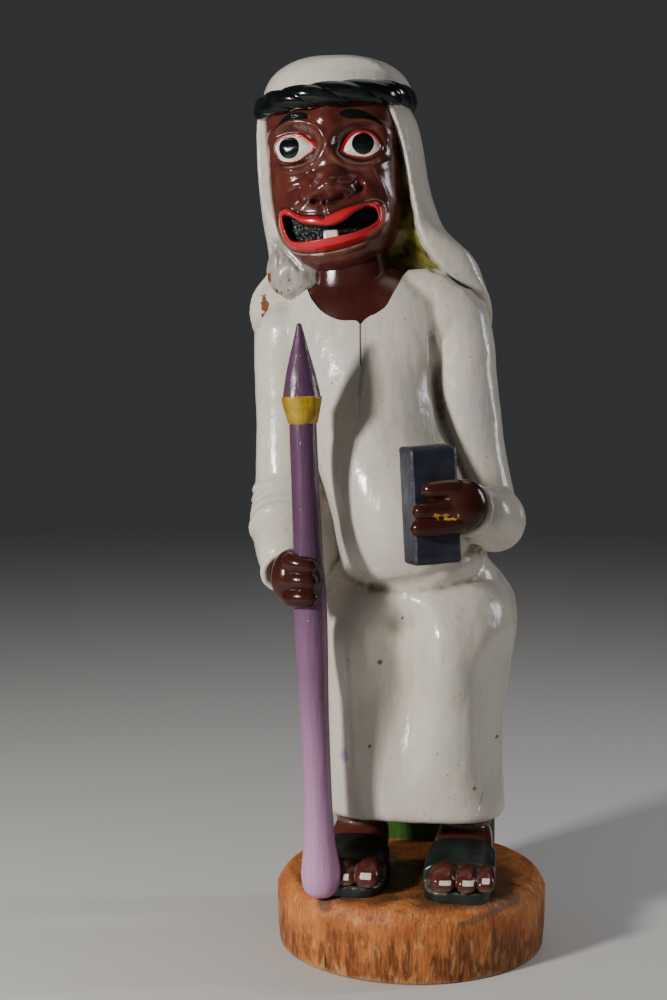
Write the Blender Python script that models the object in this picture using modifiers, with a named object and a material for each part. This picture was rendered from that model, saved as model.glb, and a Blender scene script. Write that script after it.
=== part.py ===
"""A painted shetani carving: a seated figure, its stool and its round base cut from one log, with a loose staff
and a loose block in its hands. Metres, +Z up, the front faces -Y, the origin is the middle of the base's underside.

The free forms are drawn in millimetres above the top of the base, as on a carver's drawing of a figure that is
DRAWN_HEIGHT tall, and UNIT turns one drawn millimetre into metres. The base, the staff and the block have sizes
of their own.
"""

import math

import bmesh
import bpy
from mathutils import Matrix, Vector

# Driving dimensions
FIGURE_HEIGHT = 0.722
BASE_RADIUS = 0.1212
BASE_THICKNESS = 0.064
BASE_EDGE_ROUNDING = 0.008
STAFF_SHAFT_RADIUS = 0.0118
STAFF_HEAD_RADIUS = 0.0160
STAFF_FOOT_RADIUS = 0.0168
STAFF_LENGTH = 0.484
BLOCK_WIDTH = 0.041
BLOCK_DEPTH = 0.026
BLOCK_HEIGHT = 0.097
BLOCK_BEVEL = 0.0012
FIT_GAP = 0.0004

# The carver's drawing
DRAWN_HEIGHT = 722.0
UNIT = FIGURE_HEIGHT / DRAWN_HEIGHT

# Fineness of the carved solid
COARSE_VOXEL = 0.0035
FINE_VOXEL = 0.0024
FIGURE_TRIANGLES = 7300
SHARP_ANGLE = math.radians(50)
TIP_SHARE = 0.12
LOFT_SIDES = 40
LOFT_STEPS = 5
FINE_SIDES = 144
FINE_STEPS = 8
RING_POINTS = 36
BALL_RINGS = 16
CROWN_STEPS = 12
BASE_SIDES = 72
STAFF_SIDES = 20


def drawn(x, y, z):
    """A point of the drawing, in metres."""
    return Vector((x, y, z)) * UNIT + Vector((0, 0, BASE_THICKNESS))


def clear_scene():
    for obj in list(bpy.data.objects):
        bpy.data.objects.remove(obj)


def new_collection(name):
    collection = bpy.data.collections.new(name)
    bpy.context.scene.collection.children.link(collection)
    return collection


def paint(name, colour, roughness):
    material = bpy.data.materials.new(name)
    material.use_nodes = True
    shader = material.node_tree.nodes["Principled BSDF"]
    shader.inputs["Base Color"].default_value = (*colour, 1)
    shader.inputs["Roughness"].default_value = roughness
    shader.inputs["Metallic"].default_value = 0
    return material


def flowing(rows, steps=LOFT_STEPS):
    """The rows of numbers with more rows between them, on a smooth Catmull-Rom curve through them all."""
    padded = [rows[0], *rows, rows[-1]]
    made = []
    for before, start, end, after in zip(padded, padded[1:], padded[2:], padded[3:]):
        for step in range(steps):
            t = step / steps
            made.append([
                0.5 * (2 * b + (c - a) * t + (2 * a - 5 * b + 4 * c - d) * t**2 + (3 * b - a - 3 * c + d) * t**3)
                for a, b, c, d in zip(before, start, end, after)
            ])
    return made + [list(rows[-1])]


def mesh_object(name, shape):
    mesh = bpy.data.meshes.new(name)
    bmesh.ops.recalc_face_normals(shape, faces=shape.faces)
    shape.to_mesh(mesh)
    shape.free()
    obj = bpy.data.objects.new(name, mesh)
    bpy.context.scene.collection.objects.link(obj)
    return obj


def rounded(angle, squareness):
    """A point of the unit circle, squared off: 2 is round, and more is squarer."""
    across, along = math.cos(angle), math.sin(angle)
    power = 2 / squareness
    return math.copysign(abs(across) ** power, across), math.copysign(abs(along) ** power, along)


def loft(name, stations, squareness=2.4, frame=None, sides=LOFT_SIDES, steps=LOFT_STEPS, relief=None):
    """A closed skin over rings. A station is (height, middle x, half width, front y, back y), as drawn, and may end
    with how steeply its ring rises towards the front. The relief moves the front half forward, by place."""
    rows = [(*station, 0) if len(station) == 5 else station for station in stations]
    shape = bmesh.new()
    rings = []
    for height, middle, half, front, back, rise in flowing(rows, steps):
        ring = []
        for side in range(sides):
            across, along = rounded(2 * math.pi * side / sides, squareness)
            x = middle + half * across
            y = (front + back) / 2 + (back - front) / 2 * along
            z = height - rise * (back - front) / 2 * along
            if relief and along < 0:
                y -= relief(x, z) * min(1, -2 * along)
            point = Vector((x, y, z))
            ring.append(shape.verts.new(drawn(*(frame @ point if frame else point))))
        rings.append(ring)
    for low, high in zip(rings, rings[1:]):
        for side in range(sides):
            after = (side + 1) % sides
            shape.faces.new((low[side], low[after], high[after], high[side]))
    shape.faces.new(rings[0])
    shape.faces.new(rings[-1])
    return mesh_object(name, shape)


def front_of(stations, squareness, x, height):
    """The drawn y of a loft's front at a place on it, without its relief."""
    row = min(flowing(stations), key=lambda station: abs(station[0] - height))
    share = min(abs(x - row[1]) / row[2], 0.98)
    middle, depth = (row[3] + row[4]) / 2, (row[4] - row[3]) / 2
    return middle - depth * (1 - share**squareness) ** (1 / squareness)


def bump(x, z, centre, radii, height):
    """A soft round swelling of a relief, or a hollow where the height is negative."""
    away = ((x - centre[0]) / radii[0]) ** 2 + ((z - centre[1]) / radii[1]) ** 2
    return height * (1 - away) ** 2 if away < 1 else 0


def ridge(x, z, path, width, height):
    """A soft raised line of a relief along a path, or a groove where the height is negative."""
    nearest = min(distance_to_line(x, z, *ends) for ends in zip(path, path[1:]))
    return height * (1 - (nearest / width) ** 2) ** 2 if nearest < width else 0


def distance_to_line(x, z, start, end):
    run, rise = end[0] - start[0], end[1] - start[1]
    share = ((x - start[0]) * run + (z - start[1]) * rise) / (run**2 + rise**2)
    share = min(1, max(0, share))
    return math.hypot(x - start[0] - share * run, z - start[1] - share * rise)


def ball(name, centre, radii, frame=None):
    """An ellipsoid at a drawn point, with drawn radii."""
    shape = bmesh.new()
    bmesh.ops.create_uvsphere(shape, u_segments=2 * BALL_RINGS, v_segments=BALL_RINGS, radius=1)
    place = Matrix.Translation(Vector(centre)) @ Matrix.Diagonal((*radii, 1))
    if frame:
        place = frame @ place
    for vertex in shape.verts:
        vertex.co = drawn(*(place @ vertex.co))
    return mesh_object(name, shape)


def limb(name, path, radii, frame=None, closed=False):
    """A round tube through drawn points, with a drawn radius at each. An open one has domed ends."""
    rows = [[*point, radius] for point, radius in zip(path, radii)]
    if not closed:
        rows = flowing(rows)
    first, last = Vector(rows[0][:3]), Vector(rows[-1][:3])
    curve = bpy.data.curves.new(name, "CURVE")
    curve.dimensions = "3D"
    curve.bevel_depth = 1
    curve.bevel_resolution = 3
    curve.use_fill_caps = True
    spline = curve.splines.new("POLY")
    spline.use_cyclic_u = closed
    spline.points.add(len(rows) - 1)
    for knot, (x, y, z, radius) in zip(spline.points, rows):
        point = Vector((x, y, z))
        if not closed:
            short = 1 - min((point - first).length, (point - last).length, radius) / radius
            radius *= max(TIP_SHARE, math.sqrt(1 - short**2))
        knot.co = (*drawn(*(frame @ point if frame else point)), 1)
        knot.radius = radius * UNIT
    obj = bpy.data.objects.new(name, curve)
    bpy.context.scene.collection.objects.link(obj)
    return as_mesh(obj)


def hoop(name, half_width, half_depth, tube, frame, squareness=2.0):
    """A closed oval ring in the frame's own flat."""
    path = []
    for step in range(RING_POINTS):
        across, along = rounded(2 * math.pi * step / RING_POINTS, squareness)
        path.append((half_width * across, half_depth * along, 0))
    return limb(name, path, [tube] * RING_POINTS, frame, closed=True)


def as_mesh(obj):
    """The object's evaluated shape as a plain welded mesh object, in place of it."""
    name = obj.name
    graph = bpy.context.evaluated_depsgraph_get()
    shape = bmesh.new()
    shape.from_mesh(bpy.data.meshes.new_from_object(obj.evaluated_get(graph)))
    shape.transform(obj.matrix_world)
    bmesh.ops.remove_doubles(shape, verts=shape.verts, dist=1e-6)
    bpy.data.objects.remove(obj)
    return mesh_object(name, shape)


def gather(name, objects):
    """One mesh object that holds the meshes of several, which still overlap in it."""
    shape = bmesh.new()
    for obj in objects:
        shape.from_mesh(obj.data)
        bpy.data.objects.remove(obj)
    mesh = bpy.data.meshes.new(name)
    shape.to_mesh(mesh)
    shape.free()
    made = bpy.data.objects.new(name, mesh)
    bpy.context.scene.collection.objects.link(made)
    return made


def fuse(name, objects, voxel, smoothing):
    """Overlapping closed forms as one skin, with the joins between them rounded as a carver leaves them."""
    made = gather(name, objects)
    remesh = made.modifiers.new("One skin", "REMESH")
    remesh.mode = "VOXEL"
    remesh.voxel_size = voxel
    smooth = made.modifiers.new("Rounded joins", "SMOOTH")
    smooth.factor = 0.5
    smooth.iterations = smoothing
    return as_mesh(made)


def shade_round(obj):
    obj.data.shade_smooth()
    obj.data.set_sharp_from_angle(angle=SHARP_ANGLE)


def shape_with(obj, other, operation="DIFFERENCE"):
    boolean = obj.modifiers.new(operation.title() + " " + other.name, "BOOLEAN")
    boolean.operation = operation
    boolean.object = other


# Head: its own frame, on the eye line, leaning to the figure's right
HEAD_LEAN = math.radians(4.0)
HEAD = Matrix.Translation((-71.7, 20, 638)) @ Matrix.Rotation(-HEAD_LEAN, 4, "Y")
HEAD_STATIONS = (
    (62, 0, 57, -50, 60), (45, 0, 61, -55, 62), (20, 0, 62, -57, 64), (0, 0, 61.5, -57, 64),
    (-25, 0, 61, -58, 60), (-50, 0, 59, -59, 55), (-70, 0, 54.5, -58, 45), (-85, 0, 46, -55, 35),
    (-97, 0, 34, -49, 20), (-104, 0, 21, -41, 5), (-107, 0, 9, -34, -10),
)
HEAD_SQUARENESS = 2.4
EYE_PLACE = (32, 0)
# The grin, as (across, height) on the face: the middle of the lips, from the left corner round the top
LIPS = (
    (-45, -54), (-38, -53), (-30, -58), (-18, -63), (-5, -65.5), (6, -63.5), (16, -58), (27, -54), (38, -53.5),
    (43, -59), (42, -68), (34, -75), (21, -80.5), (3, -84), (-16, -85), (-31, -83), (-40, -78), (-45.5, -68),
)
# The twisted ring round the head: its middle in the head's frame, half sizes and thickness
RING_MIDDLE = (2.5, 2, 43)
RING_TILT = math.radians(1.2)
RING_HALF_WIDTH = 62.5
RING_HALF_DEPTH = 66
RING_TUBE = 10.5
RING_SQUARENESS = 2.3
BROW = ((7, 10), (11, 16), (19, 20), (31, 20.5), (43, 15), (51, 6), (55, -6))
NOSE = ((0, 12), (0, -14), (0, -36))


def face_depth(across, height):
    """How far in front of the head's axis the bare face stands at a place on it."""
    return front_of(HEAD_STATIONS, HEAD_SQUARENESS, across, height)


def on_face(across, height, proud=0.0):
    return (across, face_depth(across, height) - proud, height)


def face_relief(across, height):
    """How far the carved features stand out from the bare face at a place on it."""
    side = abs(across)
    place = (side, height)
    nose = ridge(across, height, NOSE, 11, 5) + bump(across, height, (0, -36), (17, 15), 15)
    nose += bump(*place, (14, -41), (10, 9), 8) + bump(*place, (8.5, -47.5), (6, 4.5), -7)
    socket = bump(*place, EYE_PLACE, (27, 20), -9) + bump(*place, (13, -4), (10, 16), -6)
    eye = bump(*place, EYE_PLACE, (19, 13), 11)
    brow = ridge(*place, BROW, 7, 4.5)
    cheek = bump(*place, (38, -28), (20, 18), 3) + ridge(*place, ((24, -38), (36, -46), (46, -54)), 5, 3)
    muzzle = bump(across, height, (-1, -66), (62, 40), 5)
    lips = ridge(across, height, (*LIPS, LIPS[0]), 5.5, 5)
    chin = bump(across, height, (0, -98), (26, 12), 3)
    return nose + socket + eye + brow + cheek + muzzle + lips + chin


def make_head():
    skin = loft("skin", HEAD_STATIONS, frame=HEAD, sides=FINE_SIDES, steps=FINE_STEPS, relief=face_relief)
    hollow = mouth_hollow()
    shape_with(skin, hollow)
    skin = as_mesh(skin)
    bpy.data.objects.remove(hollow)
    tooth = ball("tooth", on_face(0, -78, 4), (7, 5, 6), HEAD)
    return [skin, tooth]


def mouth_hollow():
    """The hollow inside the lips: their outline, drawn in a little, carried straight back into the head."""
    middle = Vector((-1, -69))
    outline = []
    for point in LIPS:
        inwards = middle - Vector(point)
        outline.append(Vector(point) + inwards.normalized() * min(3.5, inwards.length / 2))
    shape = bmesh.new()
    rings = []
    for depth in (-24, 12):
        rings.append([shape.verts.new(drawn(*(HEAD @ Vector((u, face_depth(u, h) + depth, h))))) for u, h in outline])
    count = len(outline)
    for side in range(count):
        after = (side + 1) % count
        shape.faces.new((rings[0][side], rings[0][after], rings[1][after], rings[1][side]))
    shape.faces.new(rings[0])
    shape.faces.new(rings[1])
    return mesh_object("mouth_hollow", shape)


def make_headcloth():
    """The headcloth: a thick bell over head and shoulders, lower behind, hollowed round the neck, with the ring."""
    bell = loft("bell", (
        (482, -42, 100, 16, 96, 0.70), (485, -42, 105, 12, 100, 0.70), (492, -42, 108.5, 6, 102, 0.70),
        (503, -41, 107, -4, 101, 0.65), (517, -39.5, 101, -12, 100, 0.6), (533, -40, 95.5, -18, 99, 0.5),
        (550, -47, 88.5, -22, 98, 0.35), (569, -56, 82, -24, 97, 0.2), (590, -62, 79, -26, 96, 0.1),
        (619, -67, 76, -28, 95, 0), (658, -71, 73, -30, 94, 0), (675, -72.5, 68, -34, 90, 0),
        (690, -73, 60, -40, 84, 0),
    ), squareness=2.6)
    hollow = ball("neck_hollow", (-54, -24, 545), (73, 42, 62))
    shape_with(bell, hollow)
    bell = as_mesh(bell)
    bpy.data.objects.remove(hollow)
    dome = [math.pi / 2 * step / CROWN_STEPS for step in range(CROWN_STEPS)]
    crown = loft("crown", [
        (684 + 38 * math.sin(rise), -70, 65 * math.cos(rise) ** 0.65, 21 - 61 * math.cos(rise) ** 0.65,
         21 + 64 * math.cos(rise) ** 0.65) for rise in dome
    ], squareness=2.1, steps=1)
    tilt = HEAD @ Matrix.Translation(RING_MIDDLE) @ Matrix.Rotation(RING_TILT, 4, "X")
    return [bell, crown, hoop("head_ring", RING_HALF_WIDTH, RING_HALF_DEPTH, RING_TUBE, tilt, RING_SQUARENESS)]


# The arms, from the shoulder over the elbow to the wrist
LEFT_ARM = (
    (-110, 24, 508), (-116, 22, 478), (-119, 20, 430), (-118, 16, 380), (-116, 6, 332), (-113, -22, 304),
    (-108, -48, 288), (-103, -68, 278),
)
RIGHT_ARM = (
    (34, 22, 492), (46, 20, 430), (56, 16, 370), (67, 6, 322), (73, -22, 316), (72, -50, 324), (68, -72, 333),
)
CUFF_RADIUS = 19.5
CUFF_TUBE = 3.6


def skirt_relief(x, z):
    """Knees and the hollows between and beside them, as they press through the robe."""
    knees = bump(x, z, (-42, 205), (44, 100), 12) + bump(x, z, (28, 208), (58, 105), 13)
    between = ridge(x, z, ((-12, 225), (-14, 180), (-8, 120)), 20, -6)
    beside = ridge(x, z, ((74, 200), (66, 140), (54, 80)), 16, -5)
    return knees + between + beside


# Trunk: its stations, and the edge of the robe round the neck as (x, height), from one shoulder to the other
TORSO_STATIONS = (
    (205, 5, 72, -40, 94), (235, 4, 74, -44, 99), (258, 3, 70, -52, 100), (275, 1, 66, -68, 99),
    (300, -3, 65, -82, 97), (325, -7, 65, -87, 93), (355, -17, 64, -80, 89), (390, -29, 61, -66, 87),
    (430, -36, 61, -50, 88), (462, -40, 74, -41, 88), (485, -42, 78, -35, 87), (505, -43, 74, -30, 80),
    (519, -45, 66, -23, 74), (531, -48, 52, -14, 68), (540, -51, 34, -4, 58),
)
TORSO_SQUARENESS = 2.2
NECKLINE = (
    (-94, 519), (-87, 507), (-75, 496), (-59, 490), (-44, 488), (-30, 492), (-18, 502), (-10, 514), (-5, 526),
)
NECKLINE_RADIUS = 2.8


def make_robe():
    torso = loft("torso", TORSO_STATIONS, TORSO_SQUARENESS)
    skirt = loft("skirt", (
        (54, 5, 70, -51, 28), (56, 5, 76, -56, 33), (62, 5, 79, -59, 36), (90, 4.5, 78, -60, 42),
        (115, 3.5, 78, -60, 46),
        (149, 4, 79, -60, 50), (183, 5, 82.5, -62, 62), (217, 5.5, 87, -64, 84), (235, 5, 88.5, -62, 94),
        (252, 4, 84, -54, 96), (268, 3, 77, -40, 92), (280, 2, 66, -24, 84),
    ), squareness=3.0, sides=FINE_SIDES, relief=skirt_relief)
    sleeves = [
        limb("left_flank", [(-84, 36, 480), (-86, 38, 380), (-80, 38, 290), (-66, 36, 240)], (26, 26, 26, 24)),
        limb("left_sleeve", LEFT_ARM, (32, 31, 27, 26, 27, 27, 23, 20)),
        limb("right_sleeve", RIGHT_ARM, (31, 27, 27, 28.5, 27.5, 24, 21)),
        cuff(LEFT_ARM),
        cuff(RIGHT_ARM),
    ]
    return fuse("robe", [torso, skirt, *sleeves], COARSE_VOXEL, 4)


def cuff(arm):
    """The rim of a sleeve's opening, square to the arm's last stretch."""
    wrist = Vector(arm[-1])
    along = wrist - Vector(arm[-2])
    square = Vector((0, 0, 1)).rotation_difference(along).to_matrix().to_4x4()
    return hoop("cuff", CUFF_RADIUS, CUFF_RADIUS, CUFF_TUBE, Matrix.Translation(wrist) @ square)


def make_neck():
    neck = loft("neck", (
        (485, -50, 52, -26, 42), (500, -51, 46, -27, 42), (515, -53, 40, -24, 43), (530, -56, 36, -21, 46),
        (550, -58, 35, -20, 48), (572, -62, 36, -20, 50),
    ))
    hem = [(x, front_of(TORSO_STATIONS, TORSO_SQUARENESS, x, height), height) for x, height in NECKLINE]
    return [neck, limb("neckline", hem, [NECKLINE_RADIUS] * len(hem))]


# The staff's line through the fist, from its foot on the base to its point
STAFF_FOOT = (-66.5, -91)
STAFF_LEAN = (-0.037, -0.014)
FIST_HEIGHT = 272.5


def staff_at(height):
    """The staff's axis at a drawn height, as drawn."""
    return Vector((STAFF_FOOT[0] + STAFF_LEAN[0] * height, STAFF_FOOT[1] + STAFF_LEAN[1] * height, height))


def make_fist():
    """The hand round the staff: its back to the figure's right, three fingers bent over the staff's front."""
    grip = STAFF_SHAFT_RADIUS / UNIT + 5
    parts = [
        ball("palm", staff_at(FIST_HEIGHT) + Vector((-19, -1, 0)), (18, 19, 24)),
        limb("wrist", [(-108, -58, 284), (-97, -82, 275)], (18, 18)),
    ]
    for row in (-16, 0, 16):
        centre = staff_at(FIST_HEIGHT + row)
        path = []
        for step in range(6):
            angle = math.radians(185 + step * 29)
            path.append(centre + Vector((math.cos(angle), math.sin(angle), 0)) * grip)
        parts.append(limb("finger", path, (9, 9, 9, 8.5, 7.5, 6)))
    return parts


# The block's place: its middle, and how far its broad face is turned towards the figure's left
BLOCK_PLACE = (24.5, -92, 334)
BLOCK_TURN = math.radians(28)
BLOCK_TILT = math.radians(-3.2)
BLOCK_POSE = Matrix.Rotation(BLOCK_TURN, 4, "Z") @ Matrix.Rotation(BLOCK_TILT, 4, "Y")


def make_block_hand():
    """The hand flat on the block's face: a palm, a raised thumb and two fingers."""
    face = -BLOCK_DEPTH / 2 / UNIT
    place = Matrix.Translation(BLOCK_PLACE) @ BLOCK_POSE
    return [
        limb("wrist", [(73, -52, 327), (68, -76, 333), (58, -100, 334)], (19, 18, 15)),
        ball("palm", (22, face - 8, -1), (21, 12, 21), place),
        limb("thumb", [(24, face - 9, 11), (6, face - 8, 13.5), (-14, face - 6.5, 13)], (8.5, 8, 6.5), place),
        limb("finger", [(22, face - 9, -2), (0, face - 7.5, -2.5), (-24, face - 5, -3.5)], (9, 8, 6.5), place),
        limb("finger", [(22, face - 9, -13), (0, face - 7.5, -16), (-26, face - 4, -17)], (9, 8, 6.5), place),
    ]


def make_foot(name, heel, toes, inner):
    """A foot in its sandal. The toes are given as tip points with radii, and inner is 1 where they run from low x."""
    frame = Matrix.Translation(heel) @ Matrix.Rotation(math.pi / 2, 4, "X")
    length = heel[1] - min(tip[1] for tip, radius in toes)
    foot = loft(name + "_foot", (
        (-14, 0, 15, 6, 28), (-4, 0, 23, 2, 44), (16, 0, 25, 2, 50), (40, 0, 27, 2, 38), (62, 0, 28, 2, 29),
        (78, 0, 27, 2, 21), (88, 0, 24, 2, 14),
    ), frame=frame)
    strap = loft(name + "_strap", (
        (38, 0, 28.5, 0, 40), (41, 0, 30, 0, 41), (60, 0, 31, 0, 33), (77, 0, 31.5, 0, 26), (80, 0, 30, 0, 23),
    ), squareness=2.8, frame=frame)
    ankle = limb(name + "_ankle", [(heel[0], 4, 82), (heel[0], 0, 24)], (23, 24))
    parts = [foot, strap, ankle, make_sole(name + "_sole", heel, length, inner)]
    for tip, radius in toes:
        root = Vector((tip[0] - 0.15 * (tip[0] - heel[0]), tip[1] + 34, 14))
        parts.append(limb(name + "_toe", [root, Vector((*tip, 13))], (radius * 0.9, radius)))
    return parts


SOLE_SQUARENESS = 3.3


def make_sole(name, heel, length, inner):
    """The sandal's sole: an upright slab with a rounded outline, wider at the toes."""
    shape = bmesh.new()
    rim = []
    for step in range(RING_POINTS):
        run, wide = rounded(2 * math.pi * step / RING_POINTS, SOLE_SQUARENESS)
        slant = 5 * inner * wide * (1 + run) / 2
        rim.append((heel[0] + wide * (28 + 3.5 * run), heel[1] + 14 - (1 + run) / 2 * (length + 20) + slant))
    rings = [[shape.verts.new(drawn(x, y, height)) for x, y in rim] for height in (-8, 7)]
    for index in range(RING_POINTS):
        after = (index + 1) % RING_POINTS
        shape.faces.new((rings[0][index], rings[0][after], rings[1][after], rings[1][index]))
    shape.faces.new(rings[0])
    shape.faces.new(rings[1])
    return mesh_object(name, shape)


def make_feet():
    right_toes = (((34.5, -91), 11.5), ((54, -90), 9), ((70, -85), 8.5))
    left_toes = (((-29, -89), 11.5), ((-49, -86), 9), ((-64, -66), 8.5))
    return make_foot("right", (47, 12, 0), right_toes, 1) + make_foot("left", (-45, 12, 0), left_toes, -1)


def make_stool():
    """The stool's upright slab, at the back of the log."""
    return loft("stool", (
        (-12, 4, 67, 79, 105), (0, 4, 67, 79, 105), (150, 4, 67, 79, 105), (190, 4, 70, 60, 104), (215, 4, 74, 40, 100),
    ), squareness=2.4)


def make_base():
    """The slice of the log that carries everything: nearly round, bellied a little, with a worn upper edge."""
    bottom = -BASE_THICKNESS / UNIT
    radius, worn = BASE_RADIUS / UNIT, BASE_EDGE_ROUNDING / UNIT
    profile = [(bottom, radius - 2.5), (bottom * 0.7, radius - 0.6), (bottom * 0.35, radius), (-worn, radius - 2)]
    for step in range(1, 5):
        angle = step * math.pi / 8
        profile.append((worn * (math.sin(angle) - 1), radius - 2 - worn * (1 - math.cos(angle))))
    return loft("base", [(z, 0, r, -r, r) for z, r in profile], squareness=2, sides=BASE_SIDES, steps=1)


def make_figure(material):
    forms = [make_robe(), *make_headcloth(), *make_neck(), *make_head()]
    forms += [*make_fist(), *make_block_hand(), *make_feet(), make_stool()]
    figure = fuse("carved_figure", forms, FINE_VOXEL, 1)
    count = sum(len(face.vertices) - 2 for face in figure.data.polygons)
    thin = figure.modifiers.new("Facets", "DECIMATE")
    thin.ratio = FIGURE_TRIANGLES / count
    figure = as_mesh(figure)
    base = make_base()
    shape_with(figure, base, "UNION")
    figure = as_mesh(figure)
    bpy.data.objects.remove(base)
    shade_round(figure)
    figure.data.materials.append(material)
    return figure


def make_staff(material):
    """The whittled staff: a bulbed foot, a long shaft, a flared collar and a pointed head."""
    shaft, head, foot = STAFF_SHAFT_RADIUS, STAFF_HEAD_RADIUS, STAFF_FOOT_RADIUS
    collar_foot, collar_top = STAFF_LENGTH * 0.824, STAFF_LENGTH * 0.869
    profile = [
        (0.0, 0.0), (foot * 0.60, 0.0), (foot * 0.88, 0.005), (foot, 0.015), (foot * 0.96, 0.026),
        (shaft * 1.12, 0.048), (shaft * 1.02, 0.075), (shaft, 0.11), (shaft * 1.08, STAFF_LENGTH * 0.36),
        (shaft * 1.20, STAFF_LENGTH * 0.49), (shaft * 1.10, STAFF_LENGTH * 0.60), (shaft, STAFF_LENGTH * 0.72),
        (shaft * 0.98, collar_foot - 0.001), (shaft * 1.06, collar_foot), (head * 1.06, collar_top - 0.004),
        (head * 1.06, collar_top), (head, collar_top + 0.001), (head * 0.93, collar_top + 0.012),
        (head * 0.62, STAFF_LENGTH * 0.935), (head * 0.30, STAFF_LENGTH * 0.98), (head * 0.14, STAFF_LENGTH * 0.997),
        (0.0, STAFF_LENGTH),
    ]
    mesh = bpy.data.meshes.new("staff")
    mesh.from_pydata([(r, 0, z) for r, z in reversed(profile)], [(k, k + 1) for k in range(len(profile) - 1)], [])
    staff = bpy.data.objects.new("staff", mesh)
    bpy.context.scene.collection.objects.link(staff)
    turn = staff.modifiers.new("Turned", "SCREW")
    turn.steps = turn.render_steps = STAFF_SIDES
    turn.use_merge_vertices = True
    turn.merge_threshold = 0.0001
    staff.location = drawn(*STAFF_FOOT, 0) + Vector((0, 0, FIT_GAP))
    lean = Vector((*STAFF_LEAN, 1)).normalized()
    staff.rotation_euler = Vector((0, 0, 1)).rotation_difference(lean).to_euler()
    staff.data.materials.append(material)
    return staff


def make_block(material):
    shape = bmesh.new()
    bmesh.ops.create_cube(shape, size=1)
    bmesh.ops.scale(shape, verts=shape.verts, vec=(BLOCK_WIDTH, BLOCK_DEPTH, BLOCK_HEIGHT))
    block = mesh_object("held_block", shape)
    block.location = drawn(*BLOCK_PLACE)
    block.rotation_euler = BLOCK_POSE.to_euler()
    bevel = block.modifiers.new("Softened edges", "BEVEL")
    bevel.width = BLOCK_BEVEL
    bevel.segments = 2
    block.data.materials.append(material)
    return block


def fitted_cutter(obj, cutters):
    """A copy of a loose piece, larger by the fit gap all round, that makes its seat in the carving."""
    cutter = obj.copy()
    cutter.data = obj.data.copy()
    cutter.name = obj.name + "_seat"
    swell = cutter.modifiers.new("Fit gap", "DISPLACE")
    swell.strength = FIT_GAP
    swell.mid_level = 0
    cutter.hide_render = True
    cutter.display_type = "WIRE"
    cutters.objects.link(cutter)
    return cutter


def move_to(collection, objects):
    for obj in objects:
        bpy.context.scene.collection.objects.unlink(obj)
        collection.objects.link(obj)


def main():
    clear_scene()
    carving = new_collection("shetani_carving")
    cutters = new_collection("cutters")
    figure = make_figure(paint("painted_wood", (0.72, 0.68, 0.58), 0.3))
    staff = make_staff(paint("purple_paint", (0.30, 0.14, 0.29), 0.35))
    block = make_block(paint("slate_paint", (0.03, 0.03, 0.06), 0.6))
    move_to(carving, (figure, staff, block))
    for piece in (staff, block):
        shape_with(figure, fitted_cutter(piece, cutters))


main()
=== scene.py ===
# %% [markdown]
# A painted spirit carving. One log gives the seated figure, the stool behind it and the round base under
# it, and two loose pieces are held in its hands: a whittled staff and a sawn block. This lesson dresses the
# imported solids. Each colour of paint becomes a mesh of its own, because a separate mesh ends in a crisp
# line where the real carver cut a step, and all of them stand for the one solid they were cut from.

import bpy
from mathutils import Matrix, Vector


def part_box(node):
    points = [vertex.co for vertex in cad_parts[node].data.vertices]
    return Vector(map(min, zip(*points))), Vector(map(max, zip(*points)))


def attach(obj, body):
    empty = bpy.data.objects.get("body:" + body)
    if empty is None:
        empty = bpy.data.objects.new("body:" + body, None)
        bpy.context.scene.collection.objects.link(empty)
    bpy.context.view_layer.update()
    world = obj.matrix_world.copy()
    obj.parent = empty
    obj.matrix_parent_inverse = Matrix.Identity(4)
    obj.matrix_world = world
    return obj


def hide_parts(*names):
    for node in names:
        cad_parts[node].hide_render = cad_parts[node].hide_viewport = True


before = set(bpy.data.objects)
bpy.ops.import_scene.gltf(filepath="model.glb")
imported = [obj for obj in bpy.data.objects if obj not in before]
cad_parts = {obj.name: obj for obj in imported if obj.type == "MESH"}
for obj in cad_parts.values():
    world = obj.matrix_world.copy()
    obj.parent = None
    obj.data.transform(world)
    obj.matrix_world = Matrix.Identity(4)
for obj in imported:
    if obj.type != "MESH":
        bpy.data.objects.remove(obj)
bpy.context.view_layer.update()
print("solids:", sorted(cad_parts))

# %% [markdown]
# Most forms here are worked out as arrays of numbers before Blender sees them, so NumPy does much of the
# work. BMesh turns faces outwards and bevels the block, and mathutils gives the tilted frames of the head
# and the hands, and the noise behind the wood's grain.

# %% What the lesson uses
import math

import bmesh
import bpy
import numpy as np
from mathutils import Matrix, Vector, noise

# %% [markdown]
# A carver works from a drawing. Here every free form is drawn in millimetres, x to the viewer's right, y to
# the back and z above the top of the base, and two helpers turn drawn places into the frame's metres and
# back. The base's top is where the loose staff stands, so it is read from that solid and not written twice.

# %% The drawing's units
MM = 0.001
BASE_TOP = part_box("staff")[0].z


def to_world(points):
    return np.asarray(points, float) * MM + (0, 0, BASE_TOP)


def to_drawn(points):
    return (np.asarray(points, float) - (0, 0, BASE_TOP)) / MM


print("base top at", round(BASE_TOP, 4), "m")

# %% [markdown]
# Three kinds of form make the whole figure: lofts over rings for trunk, skirt and cloth, tubes for limbs,
# and ovals for palms and toes. Each helper returns plain arrays of points and faces, because arrays can be
# joined, bent and measured before Blender sees them.

# %% Curves, rings and skins
def flowing(rows, steps):
    """The rows with more rows between them, on a smooth Catmull-Rom curve through them all."""
    rows = np.asarray(rows, float)
    padded = np.vstack((rows[:1], rows, rows[-1:]))
    t = (np.arange(steps) / steps)[:, None]
    runs = []
    for a, b, c, d in zip(padded, padded[1:], padded[2:], padded[3:]):
        bend = 2 * a - 5 * b + 4 * c - d
        twist = 3 * b - a - 3 * c + d
        runs.append(0.5 * (2 * b + (c - a) * t + bend * t**2 + twist * t**3))
    return np.vstack((*runs, rows[-1:]))


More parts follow.
